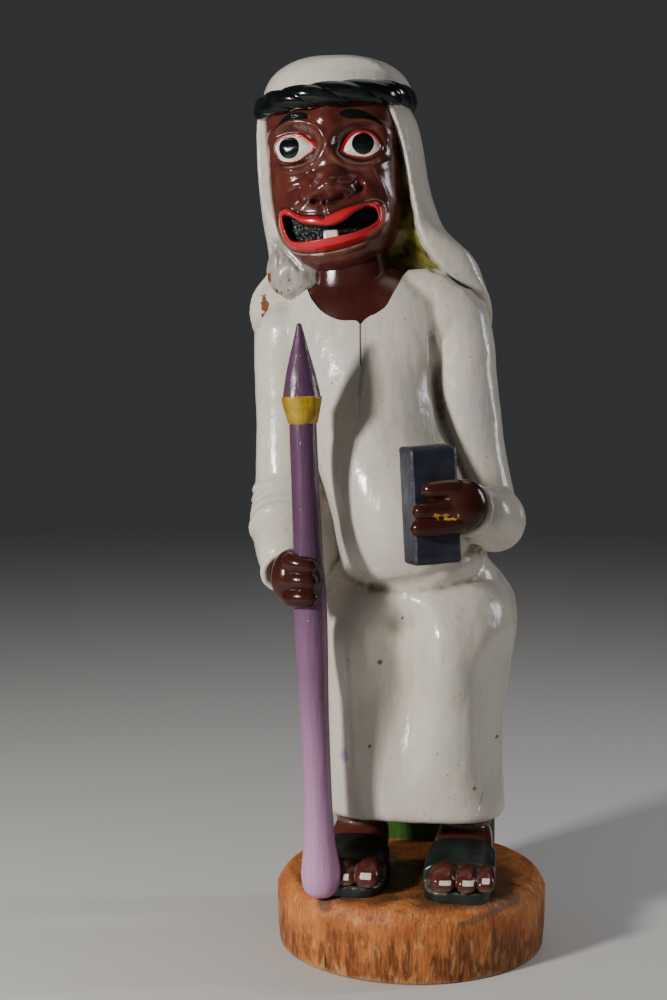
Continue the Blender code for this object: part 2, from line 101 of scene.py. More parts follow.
def rounded(angle, squareness):
    """Points of the unit circle, squared off: 2 is round, and more is squarer."""
    across, along = np.cos(angle), np.sin(angle)
    power = 2 / squareness
    return np.sign(across) * np.abs(across) ** power, np.sign(along) * np.abs(along) ** power


def turned(count):
    return 2 * math.pi * np.arange(count) / count


def skin_over(rings):
    """Points and faces of a closed skin over rings that have the same number of points."""
    rings = np.asarray(rings)
    count, sides = rings.shape[:2]
    start = np.arange(count - 1)[:, None] * sides
    low = (start + np.arange(sides)).ravel()
    after = (start + (np.arange(sides) + 1) % sides).ravel()
    quads = np.stack((low, after, after + sides, low + sides), axis=1).tolist()
    ends = [list(range(sides)), list(range((count - 1) * sides, count * sides))]
    return rings.reshape(-1, 3), quads + ends


def framed(points, frame_matrix):
    """The points carried from a frame's own coordinates into the drawing."""
    matrix = np.array(frame_matrix)
    return np.asarray(points) @ matrix[:3, :3].T + matrix[:3, 3]


# %% [markdown]
# A loft is a skin pulled over a stack of rings, as planks are bent round the ribs of a boat. Each ring is a
# few sizes at one height, so a whole trunk is drawn as a short table, and the rings between the rows follow
# a smooth curve.

# %% Lofts
def loft(stations, squareness=2.4, sides=120, steps=10, carve=None, inside=None):
    """A skin over rings. A station is (height, middle x, half width, front y, back y), and may end with how
    steeply its ring rises towards the front. The carving moves the front half forward, by place."""
    rows = flowing([(*station, 0) if len(station) == 5 else station for station in stations], steps)
    height, middle, half, front, back, rise = (column[:, None] for column in rows.T)
    across, along = rounded(turned(sides), squareness)
    x = middle + half * across
    y = (front + back) / 2 + (back - front) / 2 * along
    z = height - rise * (back - front) / 2 * along + 0 * x
    if carve:
        y = y - carve(x, z) * np.clip(-2 * along, 0, 1)
    rings = np.stack((x, y, z), axis=-1)
    return skin_over(framed(rings, inside) if inside else rings)


# %% [markdown]
# An arm or a finger is a tube: round sections along a bent path. Each section is turned on from the one
# before it, so the skin doesn't twist, and both ends are domed, because a tube often ends inside another
# form.

# %% Tubes
def tube(path, radii, inside=None, sides=36, steps=10, swell=None):
    """A round limb through drawn points, with a radius at each and domed ends. The swelling adds to its
    radius by how far along it is, from 0 to 1."""
    rows = flowing([(*point, radius) for point, radius in zip(path, radii)], steps)
    points, radius = rows[:, :3], rows[:, 3]
    run = np.gradient(points, axis=0)
    run /= np.linalg.norm(run, axis=1)[:, None]
    side = np.cross(run[0], (0.3, 0.2, 0.93))
    rings = []
    travelled = np.concatenate(([0], np.cumsum(np.linalg.norm(np.diff(points, axis=0), axis=1))))
    for place, heading, girth, far in zip(points, run, radius, travelled):
        side = side - heading * side.dot(heading)
        side /= np.linalg.norm(side)
        short = 1 - min(far, travelled[-1] - far, girth) / girth
        girth = girth * max(0.1, math.sqrt(1 - short**2))
        if swell:
            girth = girth + swell(far / travelled[-1])
        angles = turned(sides)[:, None]
        rings.append(place + girth * (np.cos(angles) * side + np.sin(angles) * np.cross(heading, side)))
    rings = np.array(rings)
    return skin_over(framed(rings, inside) if inside else rings)


# %% [markdown]
# A palm or a hip is an oval. A cuff is a torus, which is a round section carried round an oval path.

# %% Ovals and hoops
def oval(centre, radii, inside=None, rings=28):
    """An ellipsoid, closed at both ends by a very small ring."""
    polar = np.linspace(0.02, math.pi - 0.02, rings)[:, None]
    angle = turned(2 * rings)
    across, along = np.sin(polar) * np.cos(angle), np.sin(polar) * np.sin(angle)
    ball = np.stack((across, along, np.cos(polar) + 0 * angle), axis=-1)
    ball = ball * radii + np.asarray(centre, float)
    return skin_over(framed(ball, inside) if inside else ball)


def hoop_path(half_width, half_depth, squareness=2.0, count=48):
    """Points of an oval in its own flat."""
    across, along = rounded(turned(count), squareness)
    return np.stack((half_width * across, half_depth * along, 0 * across), axis=1)


def torus(half_width, half_depth, girth, inside, sides=20):
    """A closed oval ring of round section in a frame's own flat."""
    path = hoop_path(half_width, half_depth)
    out = path / np.array((half_width, half_depth, 1.0)) ** 2
    out /= np.linalg.norm(out, axis=1)[:, None]
    angles = turned(sides)[None, :, None]
    rings = path[:, None] + girth * (np.cos(angles) * out[:, None] + np.sin(angles) * np.array((0, 0, 1.0)))
    rings = framed(np.vstack((rings, rings[:1])), inside)
    count = len(path)
    points, faces = skin_over(rings)
    faces = [[index % (count * sides) for index in face] for face in faces[:-2]]
    return points[: count * sides], faces


# %% [markdown]
# Overlapping forms become one skin with a voxel remesh, which is how a digital sculptor joins lumps of
# clay, and a little smoothing rounds the joins as a knife and sandpaper do. The remesh forgets what was
# finer than a voxel, so fine cuts and the edges of the paint come after it, as moves and measures of the
# skin's own points.

# %% Joining skins
def face_outwards(mesh):
    shape = bmesh.new()
    shape.from_mesh(mesh)
    bmesh.ops.recalc_face_normals(shape, faces=shape.faces)
    shape.to_mesh(mesh)
    shape.free()


def new_piece(name, mesh):
    piece = bpy.data.objects.new(name, mesh)
    bpy.context.scene.collection.objects.link(piece)
    return piece


def mesh_piece(name, shells):
    """A mesh object from several shells of drawn points, with their faces outwards."""
    points, faces, count = [], [], 0
    for shell_points, shell_faces in shells:
        points.append(to_world(shell_points))
        faces += [[index + count for index in face] for face in shell_faces]
        count += len(shell_points)
    mesh = bpy.data.meshes.new(name)
    mesh.from_pydata(np.vstack(points).tolist(), [], faces)
    face_outwards(mesh)
    print(f"{name}: {count} drawn points in {len(shells)} shells")
    return new_piece(name, mesh)


def settle(piece):
    """Makes what the modifiers show the piece's own plain mesh."""
    graph = bpy.context.evaluated_depsgraph_get()
    mesh = bpy.data.meshes.new_from_object(piece.evaluated_get(graph))
    piece.modifiers.clear()
    piece.data = mesh
    print(f"{piece.name}: {len(mesh.vertices)} points once settled")
    return piece


def fuse(name, shells, voxel, smoothing):
    """Overlapping shells as one skin. The voxel is in drawn millimetres."""
    piece = mesh_piece(name, shells)
    remesh = piece.modifiers.new("One skin", "REMESH")
    remesh.mode = "VOXEL"
    remesh.voxel_size = voxel * MM
    smooth = piece.modifiers.new("Rounded joins", "SMOOTH")
    smooth.factor = 0.5
    smooth.iterations = smoothing
    return settle(piece)


# %% [markdown]
# A finished skin is measured by its own points: where they are, which way they face and how deep they lie
# in a hollow. A number written on the points can be read by a material, so the paint can follow the
# carving.

# %% Measuring skins
def places(piece):
    """The piece's points, as drawn."""
    flat = np.empty(len(piece.data.vertices) * 3)
    piece.data.vertices.foreach_get("co", flat)
    return to_drawn(flat.reshape(-1, 3))


def facings(piece):
    """The direction that each point of the piece faces."""
    flat = np.empty(len(piece.data.vertices) * 3)
    piece.data.vertex_normals.foreach_get("vector", flat)
    return flat.reshape(-1, 3)


def put(piece, points):
    piece.data.vertices.foreach_set("co", to_world(points).ravel())
    piece.data.update()


FAR = 50


def note(piece, name, values, where=True):
    """Writes a number on each point, for a material to read, and a far one where the mark doesn't reach."""
    layer = piece.data.attributes.new(name, "FLOAT", "POINT")
    layer.data.foreach_set("value", np.where(where, values, FAR).astype(np.float32))


def hollows(piece, rounds):
    """How far each point lies below the average of the skin round it, in millimetres."""
    edges = np.empty(len(piece.data.edges) * 2, np.int32)
    piece.data.edges.foreach_get("vertices", edges)
    one, other = edges.reshape(-1, 2).T
    start = places(piece)
    count = len(start)
    weight = np.bincount(one, minlength=count) + np.bincount(other, minlength=count)
    average = start
    for _ in range(rounds):
        total = [
            np.bincount(one, average[other, axis], count) + np.bincount(other, average[one, axis], count)
            for axis in range(3)
        ]
        average = np.stack(total, axis=1) / weight[:, None]
    return ((average - start) * facings(piece)).sum(axis=1)


def grain(points, size, seed=0.0):
    """Soft noise from -1 to 1 at drawn points. The size of its lumps may differ by axis."""
    scaled = np.asarray(points) / size + seed
    return np.array([noise.noise(place) for place in scaled.tolist()])


def layered_grain(points, layers):
    """Several grains added up. A layer is how strong it is, the size of its lumps and its seed."""
    return sum(strength * grain(points, size, seed) for strength, size, seed in layers)


# %% [markdown]
# Carving on a curved skin is easiest to draw flat: bumps, ridges and outlines in two coordinates, as a
# carver pencils them on the wood. The same outlines serve twice, once to raise or sink the skin and once to
# tell the material where the brush stopped.

# %% Marks drawn flat
def ease(value, start, end):
    """0 before the start, 1 after the end, and a soft step between them."""
    share = np.clip((value - start) / (end - start), 0, 1)
    return share * share * (3 - 2 * share)


def crest(distance, at, width):
    """1 at one distance from a line, fading softly on both sides of it."""
    return np.exp(-(((distance - at) / width) ** 2))


def oval_reach(u, h, centre, radii):
    """How far out from an oval's centre flat places are: 1 is its edge."""
    return np.hypot((u - centre[0]) / radii[0], (h - centre[1]) / radii[1])


def nearest_oval(u, h, ovals):
    return np.min([oval_reach(u, h, centre, radii) for centre, radii in ovals], axis=0)


def nearest_spot(u, h, spots):
    """How far flat places are outside the nearest of some round spots, each a centre and a radius."""
    return np.min([np.hypot(u - centre[0], h - centre[1]) - radius for centre, radius in spots], axis=0)


def bump(u, h, centre, radii, height):
    return height * np.clip(1 - oval_reach(u, h, centre, radii) ** 2, 0, 1) ** 2


def line_distance(u, h, path):
    """How far flat places are from a path of straight runs."""
    nearest = np.full(np.shape(u), 1e6)
    for (u0, h0), (u1, h1) in zip(path, path[1:]):
        run, rise = u1 - u0, h1 - h0
        share = np.clip(((u - u0) * run + (h - h0) * rise) / (run**2 + rise**2), 0, 1)
        nearest = np.minimum(nearest, np.hypot(u - u0 - share * run, h - h0 - share * rise))
    return nearest


def ridge(u, h, path, width, height):
    return height * np.clip(1 - (line_distance(u, h, path) / width) ** 2, 0, 1) ** 2


def closed_curve(outline, steps=6):
    """A smooth closed curve through an outline's points."""
    outline = [tuple(point) for point in outline]
    looped = flowing(outline[-2:] + outline + outline[:2], steps)
    return looped[2 * steps : -2 * steps]


def edge_distance(u, h, curve):
    """How far flat places are outside a closed curve, in millimetres: below zero inside it."""
    path = [*curve, curve[0]]
    distance = line_distance(u, h, path)
    crossings = np.zeros(np.shape(u), int)
    for (u0, h0), (u1, h1) in zip(path, path[1:]):
        if h0 != h1:
            between = (h0 > h) != (h1 > h)
            crossings += between & (u < u0 + (h - h0) * (u1 - u0) / (h1 - h0))
    return np.where(crossings % 2 == 1, -distance, distance)


def smooth_rise(distance, reach):
    """From 0 towards 1 as a distance above zero grows past the reach."""
    return 1 - np.exp(-np.clip(distance, 0, None) / reach)


# %% [markdown]
# Every finish here is paint or stain on wood, so each material starts the same way: a shader with a colour,
# a roughness and a fine bump. Small helpers add nodes by name, so that a finish reads like a recipe: the
# base coat first, then what lies over it, each with its own mask.

# %% Helpers for finishes
def add_node(tree, kind, inputs, **settings):
    """A node with its settings, and its inputs as values or as other nodes' outputs."""
    node = tree.nodes.new(kind)
    for key, value in settings.items():
        setattr(node, key, value)
    for key, value in inputs.items():
        if isinstance(value, bpy.types.NodeSocket):
            tree.links.new(value, node.inputs[key])
        else:
            node.inputs[key].default_value = value
    return node


class Finish:
    """A material that is being mixed: its node tree and its shader."""

    def __init__(self, name, roughness, **sockets):
        self.material = bpy.data.materials.new(name)
        self.material.use_nodes = True
        self.tree = self.material.node_tree
        self.shader = self.tree.nodes["Principled BSDF"]
        self.shader.inputs["Roughness"].default_value = roughness
        for socket, value in sockets.items():
            self.shader.inputs[socket.replace("_", " ")].default_value = value
        self.here = self.add("ShaderNodeTexCoord", {}).outputs["Object"]

    def add(self, kind, inputs, **settings):
        return add_node(self.tree, kind, inputs, **settings)

    def cloud(self, scale, detail=3.0, stretch=(1, 1, 1), roughness=0.5, bend=0.0):
        """Soft noise from 0 to 1. The scale is lumps per metre, and a stretch over 1 makes them finer."""
        spread = self.add("ShaderNodeMapping", {"Vector": self.here, "Scale": stretch}).outputs["Vector"]
        inputs = {"Vector": spread, "Scale": scale, "Detail": detail, "Roughness": roughness,
                  "Distortion": bend}
        return self.add("ShaderNodeTexNoise", inputs).outputs["Fac"]

    def reading(self, name):
        return self.add("ShaderNodeAttribute", {}, attribute_name=name).outputs["Fac"]

    def between(self, value, low, high, to_low=0.0, to_high=1.0):
        """A value carried from one range to another, and kept inside it."""
        inputs = {"Value": value, "From Min": low, "From Max": high, "To Min": to_low, "To Max": to_high}
        return self.add("ShaderNodeMapRange", inputs).outputs["Result"]

    def math(self, operation, one, other=0.0):
        return self.add("ShaderNodeMath", {0: one, 1: other}, operation=operation).outputs["Value"]

    def product(self, one, other):
        return self.math("MULTIPLY", one, other)

    def over(self, below, above, mask):
        """One colour laid over another where the mask is 1."""
        colours = {6: below, 7: above}
        for key, colour in colours.items():
            if isinstance(colour, tuple):
                colours[key] = (*colour, 1)
        return self.add("ShaderNodeMix", {0: mask, **colours}, data_type="RGBA").outputs[2]

    def flecked(self, below, above, cloud, reach, strength=1.0):
        """One colour laid over another in patches, where a cloud rises through a reach of its values."""
        return self.over(below, above, self.between(self.cloud(*cloud), *reach, 0, strength))

    def line(self, name, inner, outer, strength=1.0):
        """A mask along a measured line: full as far as its inner width, and gone at the outer one."""
        return self.between(self.math("ABSOLUTE", self.reading(name)), inner, outer, strength, 0)

    def ragged(self, name, cloud, wobble, start, end, strength=1.0):
        """A mask inside a measured outline, with an edge that a cloud makes ragged by a wobble."""
        shift = self.between(self.cloud(*cloud), 0.3, 0.7, *wobble)
        return self.between(self.math("ADD", self.reading(name), shift), start, end, strength, 0)

    def paint(self, colour):
        self.tree.links.new(colour, self.shader.inputs["Base Color"])

    def rough(self, value):
        self.tree.links.new(value, self.shader.inputs["Roughness"])

    def relief(self, height, distance, strength=1.0):
        """A bump on the surface. The distance is in metres."""
        inputs = {"Height": height, "Distance": distance, "Strength": strength}
        last = self.shader.inputs["Normal"].links
        if last:
            inputs["Normal"] = last[0].from_socket
        bumped = self.add("ShaderNodeBump", inputs)
        self.tree.links.new(bumped.outputs["Normal"], self.shader.inputs["Normal"])


# %% [markdown]
# A finished piece gets its finish and the body that it rides on, and the solid that it stands for is hidden.
# Everything on this carving rides the one root body, because nothing on it moves.

# %% Dressing a piece
def dress(piece, finish, slot, *nodes):
    """Gives a piece its finish, sets the body that it rides on and hides the solids that it stands for. The
    slot is not used.
    """
    piece.data.materials.clear()
    piece.data.materials.append(finish.material)
    piece.data.shade_smooth()
    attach(piece, "root")
    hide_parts(*nodes)
    triangles = sum(len(face.vertices) - 2 for face in piece.data.polygons)
    print(f"{piece.name}: {triangles} triangles")


# %% [markdown]
# The robe's enamel is a warm off-white, brushed on thick over the wood. It is glossy and nearly smooth, with
# faint brush marks that run up and down and a greyer tone where dirt has settled. Deep in the creases it
# turns brownish yellow with dirt and then deep brown, as painted shade that grows with how deep the crease
# lies. The headcloth has the same coat, so it is a helper that gives back the finish and its coat, ready for
# further marks.

# %% Robe enamel
CREAM = (0.64, 0.585, 0.50)
THIN_CREAM = (0.55, 0.505, 0.43)
BRUSHED_CREAM = (0.68, 0.635, 0.56)
COOL_GREY = (0.50, 0.515, 0.55)
# The crease colours: brownish yellow dirt, then deep brown painted shade.
CREASE_DIRT_AND_SHADE = (0.33, 0.28, 0.19)
DEEP_CREASE_SHADE = (0.10, 0.075, 0.03)
SPECK_BROWN = (0.2, 0.15, 0.10)
SCRATCH_GREY = (0.38, 0.36, 0.35)


def robe_enamel(name):
    finish = Finish(name, 0.24, Specular_IOR_Level=0.5)
    coat = finish.flecked(CREAM, THIN_CREAM, (14, 4), (0.35, 0.7))
    coat = finish.flecked(coat, BRUSHED_CREAM, (60, 3, (4, 4, 0.5)), (0.4, 0.75), 0.45)
    coat = finish.flecked(coat, COOL_GREY, (26, 4), (0.52, 0.72), 0.5)
    # Painted shade in the creases: the measured hollow turns the coat brownish yellow, with dirt, and then
    # deep brown.
    hollow = finish.reading("hollow")
    coat = finish.over(coat, CREASE_DIRT_AND_SHADE, finish.between(hollow, 0.2, 1.4, 0, 0.55))
    coat = finish.over(coat, DEEP_CREASE_SHADE, finish.between(hollow, 1.0, 2.6, 0, 0.8))
    specks = finish.between(finish.cloud(380, 1), 0.76, 0.79)
    coat = finish.over(coat, SPECK_BROWN, finish.product(specks, 0.7))
    coat = finish.flecked(coat, SCRATCH_GREY, (170, 2, (1, 1, 0.06), 0.5, 0.4), (0.70, 0.73), 0.35)
    finish.rough(finish.between(finish.cloud(45, 3, (3, 3, 0.6)), 0.3, 0.8, 0.17, 0.32))
    finish.relief(finish.cloud(60, 3, (3, 3, 0.35)), 0.00035)
    finish.relief(finish.cloud(20, 3), 0.0014)
    finish.relief(finish.cloud(240, 4), 0.0002)
    finish.relief(finish.product(specks, -1), 0.0005)
    return finish, coat


# %% [markdown]
# The trunk, the skirt and both sleeves are one garment. The trunk leans to the figure's right and its belly
# swells forward, the skirt falls from the knees to a straight hem, and the sleeves bend at the elbow, where
# the cloth bunches in rings. Lofts give the trunk and skirt, because their sections change all the way up,
# and swelling tubes the arms.

# %% Robe: its lines
TORSO = (
    (205, 5, 72, -40, 94), (235, 4, 74, -44, 99), (258, 3, 70, -52, 100), (275, 1, 66, -68, 99),
    (300, -3, 65, -82, 97), (325, -7, 65, -87, 93), (355, -18, 64, -80, 89), (390, -30, 62, -66, 87),
    (430, -37, 61.5, -50, 88), (462, -41, 73, -41, 88), (485, -42, 78, -35, 87), (505, -42, 75, -30, 80),
    (519, -45, 66, -23, 74), (531, -48, 52, -14, 68), (540, -51, 34, -4, 58),
)
TORSO_SQUARENESS = 2.2
SKIRT = (
    (54, 5, 70, -51, 28), (55, 5, 75, -55, 32), (58, 5, 78, -58, 35), (64, 5, 79, -59, 36),
    (90, 4.5, 78, -60, 42), (115, 3.5, 78, -60, 46), (149, 4, 79, -60, 50), (183, 5, 82.5, -62, 62),
    (217, 5.5, 87, -65, 84), (232, 5, 87, -63, 94), (246, 4, 85, -57, 96), (258, 2, 80, -47, 92),
    (268, 0, 73, -35, 88), (277, -2, 64, -22, 82), (283, -4, 52, -8, 74),
)
LEFT_ARM = (
    (-110, 24, 508), (-116, 22, 478), (-119, 20, 430), (-118, 16, 380), (-116, 6, 332), (-113, -22, 304),
    (-107, -49, 286), (-100.5, -70, 274),
)
RIGHT_ARM = (
    (24, 20, 522), (37, 20, 484), (44, 19, 430), (54, 16, 370), (67, 6, 322), (73, -22, 316),
    (72, -44, 320), (66, -64, 325), (57, -79, 328.5),
)
LEFT_ARM_RADII = (32, 31, 27, 26, 27, 27, 23, 20)
RIGHT_ARM_RADII = (29.5, 31, 30.5, 28, 26, 25, 25, 23, 20)
LEFT_SLEEVE_RINGS = (0.62, 0.66, 0.70, 0.74, 0.78)
RIGHT_SLEEVE_RINGS = (0.72, 0.765, 0.81, 0.855)
BEHIND_LEFT_ARM = (((-84, 36, 480), (-86, 38, 380), (-80, 38, 290), (-66, 36, 240)), (26, 26, 26, 24))
SHOULDER = (((-40, 16, 512), (-8, 14, 512), (22, 14, 508), (48, 20, 478)), (24, 24.5, 26, 26))
SHOULDER_FRONT = ((25, 13, 494), (34, 26, 38))
HIP = ((35, 2, 252), (44, 38, 42))
SKIRT_SQUARENESS = 3.0

print("robe:", len(TORSO) + len(SKIRT), "drawn rings")

# %% [markdown]
# The sitter's knees press through the skirt, with a deep hollow between them, and the skirt's front turns
# to its side in a firm corner. Each is a soft bump or dent that depends only on the place on the front, so
# they can simply be added up. The sleeves' rings are a swelling of the tube at a few places along it.

# %% Robe: knees, hollow and sleeves
SLEEVE_RING_WIDTH = 0.014
CUFF_RADIUS = 19.5
CUFF_TUBE = 3.6
KNEES = (
    ((-46, 214), (42, 62), 8), ((-42, 160), (46, 110), 5), ((12, 218), (30, 56), 4),
    ((38, 212), (58, 70), 8), ((31, 160), (60, 110), 7),
)
VALLEY_PATH = ((90, -6), (140, 0), (190, 3), (240, 4))
VALLEY_DEEP = 25
VALLEY_FLANKS = (31, 17)
VALLEY_STARTS = (66, 190)
VALLEY_ENDS = (222, 258)
SIDE_START = 60
SIDE_START_AT_LAP = 87
SIDE_SLOPE = 1.15
SIDE_SOFTNESS = 4


def valley_carving(x, z):
    """The hollow between the knees. It is steeper on its right flank."""
    heights, middles = np.array(VALLEY_PATH).T
    across = x - np.interp(z, heights, middles)
    across = across / np.where(across < 0, *VALLEY_FLANKS)
    return VALLEY_DEEP * crest(across, 0, 1) * ease(z, *VALLEY_STARTS) * (1 - ease(z, *VALLEY_ENDS))


def side_carving(x, z):
    """How far the skirt falls back where its front turns to its side, fading towards the hem and the lap."""
    start = SIDE_START + (SIDE_START_AT_LAP - SIDE_START) * ease(z, 188, 230)
    beyond = np.clip((x - start) / SIDE_SOFTNESS, -30, 30)
    plane = SIDE_SLOPE * SIDE_SOFTNESS * np.log1p(np.exp(beyond))
    return plane * (1 - ease(z, 215, 240)) * (0.2 + 0.8 * ease(z, 54, 104))


def skirt_carving(x, z):
    """The knees and the hollow between them, as they press through the robe, and the turn to its side."""
    return sum(bump(x, z, *knee) for knee in KNEES) - valley_carving(x, z) - side_carving(x, z)


def sleeve_rings(places_along, height):
    """The swelling of a sleeve that bunches in rings at some places along it."""
    def swell(along):
        return sum(height * crest(along, place, SLEEVE_RING_WIDTH) for place in places_along)
    return swell


def cuff(arm):
    wrist = Vector(arm[-1])
    square = Vector((0, 0, 1)).rotation_difference(wrist - Vector(arm[-2])).to_matrix().to_4x4()
    return torus(CUFF_RADIUS, CUFF_RADIUS, CUFF_TUBE, Matrix.Translation(wrist) @ square)


print("knees:", len(KNEES), "bumps")

# %% [markdown]
# All the robe's forms are joined at one voxel size. It is as fine as the piece's limit on triangles lets it
# be, and the smoothing after it is light, so that the sleeves' rings and the cuffs stay.

# %% Robe: its skin
ROBE_VOXEL = 2.2
ROBE_SMOOTHING = 3

robe = fuse("robe", [
    loft(TORSO, TORSO_SQUARENESS),
    loft(SKIRT, SKIRT_SQUARENESS, sides=200, carve=skirt_carving),
    oval(*HIP),
    tube(*BEHIND_LEFT_ARM),
    tube(LEFT_ARM, LEFT_ARM_RADII, steps=24, swell=sleeve_rings(LEFT_SLEEVE_RINGS, 3.6)),
    tube(RIGHT_ARM, RIGHT_ARM_RADII, steps=24, swell=sleeve_rings(RIGHT_SLEEVE_RINGS, 3.4)),
    tube(*SHOULDER),
    oval(*SHOULDER_FRONT),
    cuff(LEFT_ARM),
    cuff(RIGHT_ARM),
], ROBE_VOXEL, ROBE_SMOOTHING)

# %% [markdown]
# The headcloth lies over the shoulders, and its hem is a crisp line in the photograph. So the robe is set
# back wherever the cloth covers it, along outlines drawn on the front. The crease under the belly, the slit
# below the neckline and the drip of paint under it are drawn the same way: a signed distance across each
# line is kept on the skin, because it stays exact between two points of the mesh where a plain distance
# would blur.

# %% Robe: hems, creases and marks
LEFT_HEM = (
    (-138.5, 485), (-138, 488), (-136, 493.5), (-132, 500.5), (-124.5, 506.5), (-116, 512.3),
    (-109.5, 513.6), (-103, 515.7), (-94.4, 519),
)
RIGHT_HEM = (
    (-12, 534), (3, 534.6), (18.4, 536.3), (28.6, 533.4), (40.3, 523.2), (49, 518.8), (59.4, 506.3),
    (67.7, 497.7), (68.2, 490.7),
)
SLIT = ((-41.8, 486), (-41, 468), (-40, 450.8))
DRIP = ((-37.7, 449), (-39.4, 435), (-40.3, 424))
CRACK = ((66.5, 80), (64.5, 72), (62, 62))
LAP_CREASE = ((-30, 258), (-8, 262), (18, 268), (35, 277), (57, 292), (78, 298))
ARMPIT = ((19, 474), (22, 430), (29, 378))
GROOVES = (
    (LAP_CREASE, 8, 2.2, (-22, -8)),
    (ARMPIT, 5, 2.5, (4, 14)),
    (RIGHT_HEM[2:], 6, 3, (4, 14)),
)
ROBE_GRAIN = ((0.55, (22, 22, 40), 0), (0.3, (8, 8, 14), 7))
HEM_SET_BACK = 30
PITS = (
    ((-21.7, 194.4), 1.9), ((-30.2, 121.4), 1.2), ((29.1, 118.5), 1.0), ((77, 124.5), 1.3),
    ((-2.7, 232), 1.1), ((60, 86), 1.3),
)
SCUFF_PLACE = ((-53, 112), (5.5, 11))


def over_hems(x, z):
    """How far places on the front lie above the headcloth's hems, and below zero under them."""
    left = edge_distance(x, z, [(-175, 485), *LEFT_HEM, (-94, 600), (-175, 600)])
    right = edge_distance(x, z, [*RIGHT_HEM, (68.5, 484), (110, 484), (110, 600), (-12, 600)])
    return -np.minimum(left, right)


def across_line(x, z, path):
    """The signed distance across an upright line, and a large one past its ends."""
    xs, zs = np.array(path).T
    beyond = np.maximum(z - zs[0], zs[-1] - z)
    aside = x - np.interp(z, zs[::-1], xs[::-1])
    return np.where(beyond > 0, np.sign(aside) * np.hypot(aside, beyond), aside)


skin = places(robe)
x, y, z = skin.T
dents = layered_grain(skin, ROBE_GRAIN)
for path, width, depth, fade in GROOVES:
    dents -= ridge(x, z, path, width, depth) * (1 - ease(y, *fade))
skin = skin + facings(robe) * dents[:, None]
skin[:, 1] += HEM_SET_BACK * smooth_rise(over_hems(x, z), 2) * (1 - ease(y, 10, 80))
put(robe, skin)
front = y < 0
note(robe, "hollow", hollows(robe, 14))
for name, path in {"slit": SLIT, "drip": DRIP, "crack": CRACK}.items():
    note(robe, name, across_line(x, z, path), front)
note(robe, "pit", nearest_spot(x, z, PITS), front)
note(robe, "scuff", oval_reach(x, z, *SCUFF_PLACE), front)
print("robe: deepest cut", round(float(-dents.min()), 1), "mm")

# %% [markdown]
# The marks are painted from those distances, dark in the slit and the pits and bluish at the scuff. The
# same masks also sink or raise the gloss by a bump, because a shine that breaks at its edge is what makes a
# chip look real.

# %% Robe: its paint
SLIT_DARK = (0.12, 0.09, 0.06)
SCUFF_BLUE = (0.20, 0.21, 0.36)
PIT_BROWN = (0.16, 0.10, 0.035)


def robe_paint(name):
    finish, coat = robe_enamel(name)
    slit = finish.math("MAXIMUM", finish.line("slit", 0.25, 0.9), finish.line("crack", 0.1, 0.45, 0.4))
    coat = finish.over(coat, SLIT_DARK, finish.product(slit, 0.85))
    scuff = finish.math("ADD", finish.reading("scuff"), finish.cloud(330, 4, (1, 1, 0.5)))
    coat = finish.over(coat, SCUFF_BLUE, finish.between(scuff, 0.9, 1.25, 0.7, 0))
    pit = finish.between(finish.reading("pit"), -0.3, 0.5, 1, 0)
    finish.paint(finish.over(coat, PIT_BROWN, pit))
    finish.relief(finish.line("drip", 0.2, 2.0), 0.0016)
    finish.relief(finish.math("MAXIMUM", slit, pit), -0.0016)
    return finish


dress(robe, robe_paint("robe_cream"), "robe_paint", "carved_figure")

# %% [markdown]
# The head stands in a frame of its own: the eye line is its zero height, and it leans a little to the
# figure's right. A fine loft suits it better than a remesh, because the skin's rows then follow the face
# and keep small cuts sharp.

# %% Head: frame and stations
HEAD = Matrix.Translation((-71.7, 20, 638)) @ Matrix.Rotation(math.radians(-4), 4, "Y")
HEAD_STATIONS = (
    (58, 0, 46, -42, 50), (45, 0, 60, -54, 61), (20, 0, 62, -57, 64), (0, 0, 61.5, -57, 64),
    (-25, 0, 61, -58, 60), (-50, 0, 59, -59, 55), (-70, 0, 54.5, -58, 45), (-85, 0, 46, -55, 35),
    (-97, 0, 34, -49, 20), (-104, 0, 21, -41, 5), (-107, 0, 9, -34, -10),
)
HEAD_SQUARENESS = 2.4


def bare_face(across, height):
    """Where the uncarved front of the head stands, in the head's frame."""
    rows = flowing(HEAD_STATIONS, 10)[::-1]
    half, front, back = (np.interp(height, rows[:, 0], rows[:, column]) for column in (2, 3, 4))
    share = np.clip(np.abs(across) / half, 0, 0.98)
    return (front + back) / 2 - (back - front) / 2 * (1 - share**HEAD_SQUARENESS) ** (1 / HEAD_SQUARENESS)


print("head:", HEAD_STATIONS[0][0] - HEAD_STATIONS[-1][0], "mm from crown to chin")

# %% [markdown]
# The eyes, the brows and the lips are closed curves through a few drawn points each, in the head's frame.
# The carving and the paint both follow them, so that a painted edge always lies on the cut that it marks.

# %% Head: the outlines of the face
LEFT_WHITE = closed_curve((
    (-46.5, 2), (-42.5, 9.4), (-32.5, 11.6), (-23.5, 10.2), (-17, 5), (-12.8, 0.2), (-21.4, -5.6),
    (-31.8, -9.8), (-42.6, -6.7),
))
RIGHT_WHITE = closed_curve((
    (14.3, -6.1), (17.2, 1), (22.8, 6.8), (29, 9), (38.6, 6.4), (44.7, -3.2), (41.6, -8.1), (33.7, -11.2),
    (25.7, -10.4), (16.7, -7.8),
))
PUPILS = (((-33.2, 2), 9.4), ((31.3, -0.4), 9.4))
LEFT_BROW = closed_curve((
    (-48.5, 18.5), (-44.5, 21.6), (-40.5, 24.2), (-37.1, 27.6), (-33, 29.8), (-28.4, 30.8), (-22, 30.7),
    (-16.8, 29.5), (-13.6, 26.6), (-14.2, 24), (-18.5, 23.6), (-24, 24.2), (-29, 24.6), (-34.1, 24),
    (-39, 22.6), (-44, 20.2), (-47, 18.6),
))
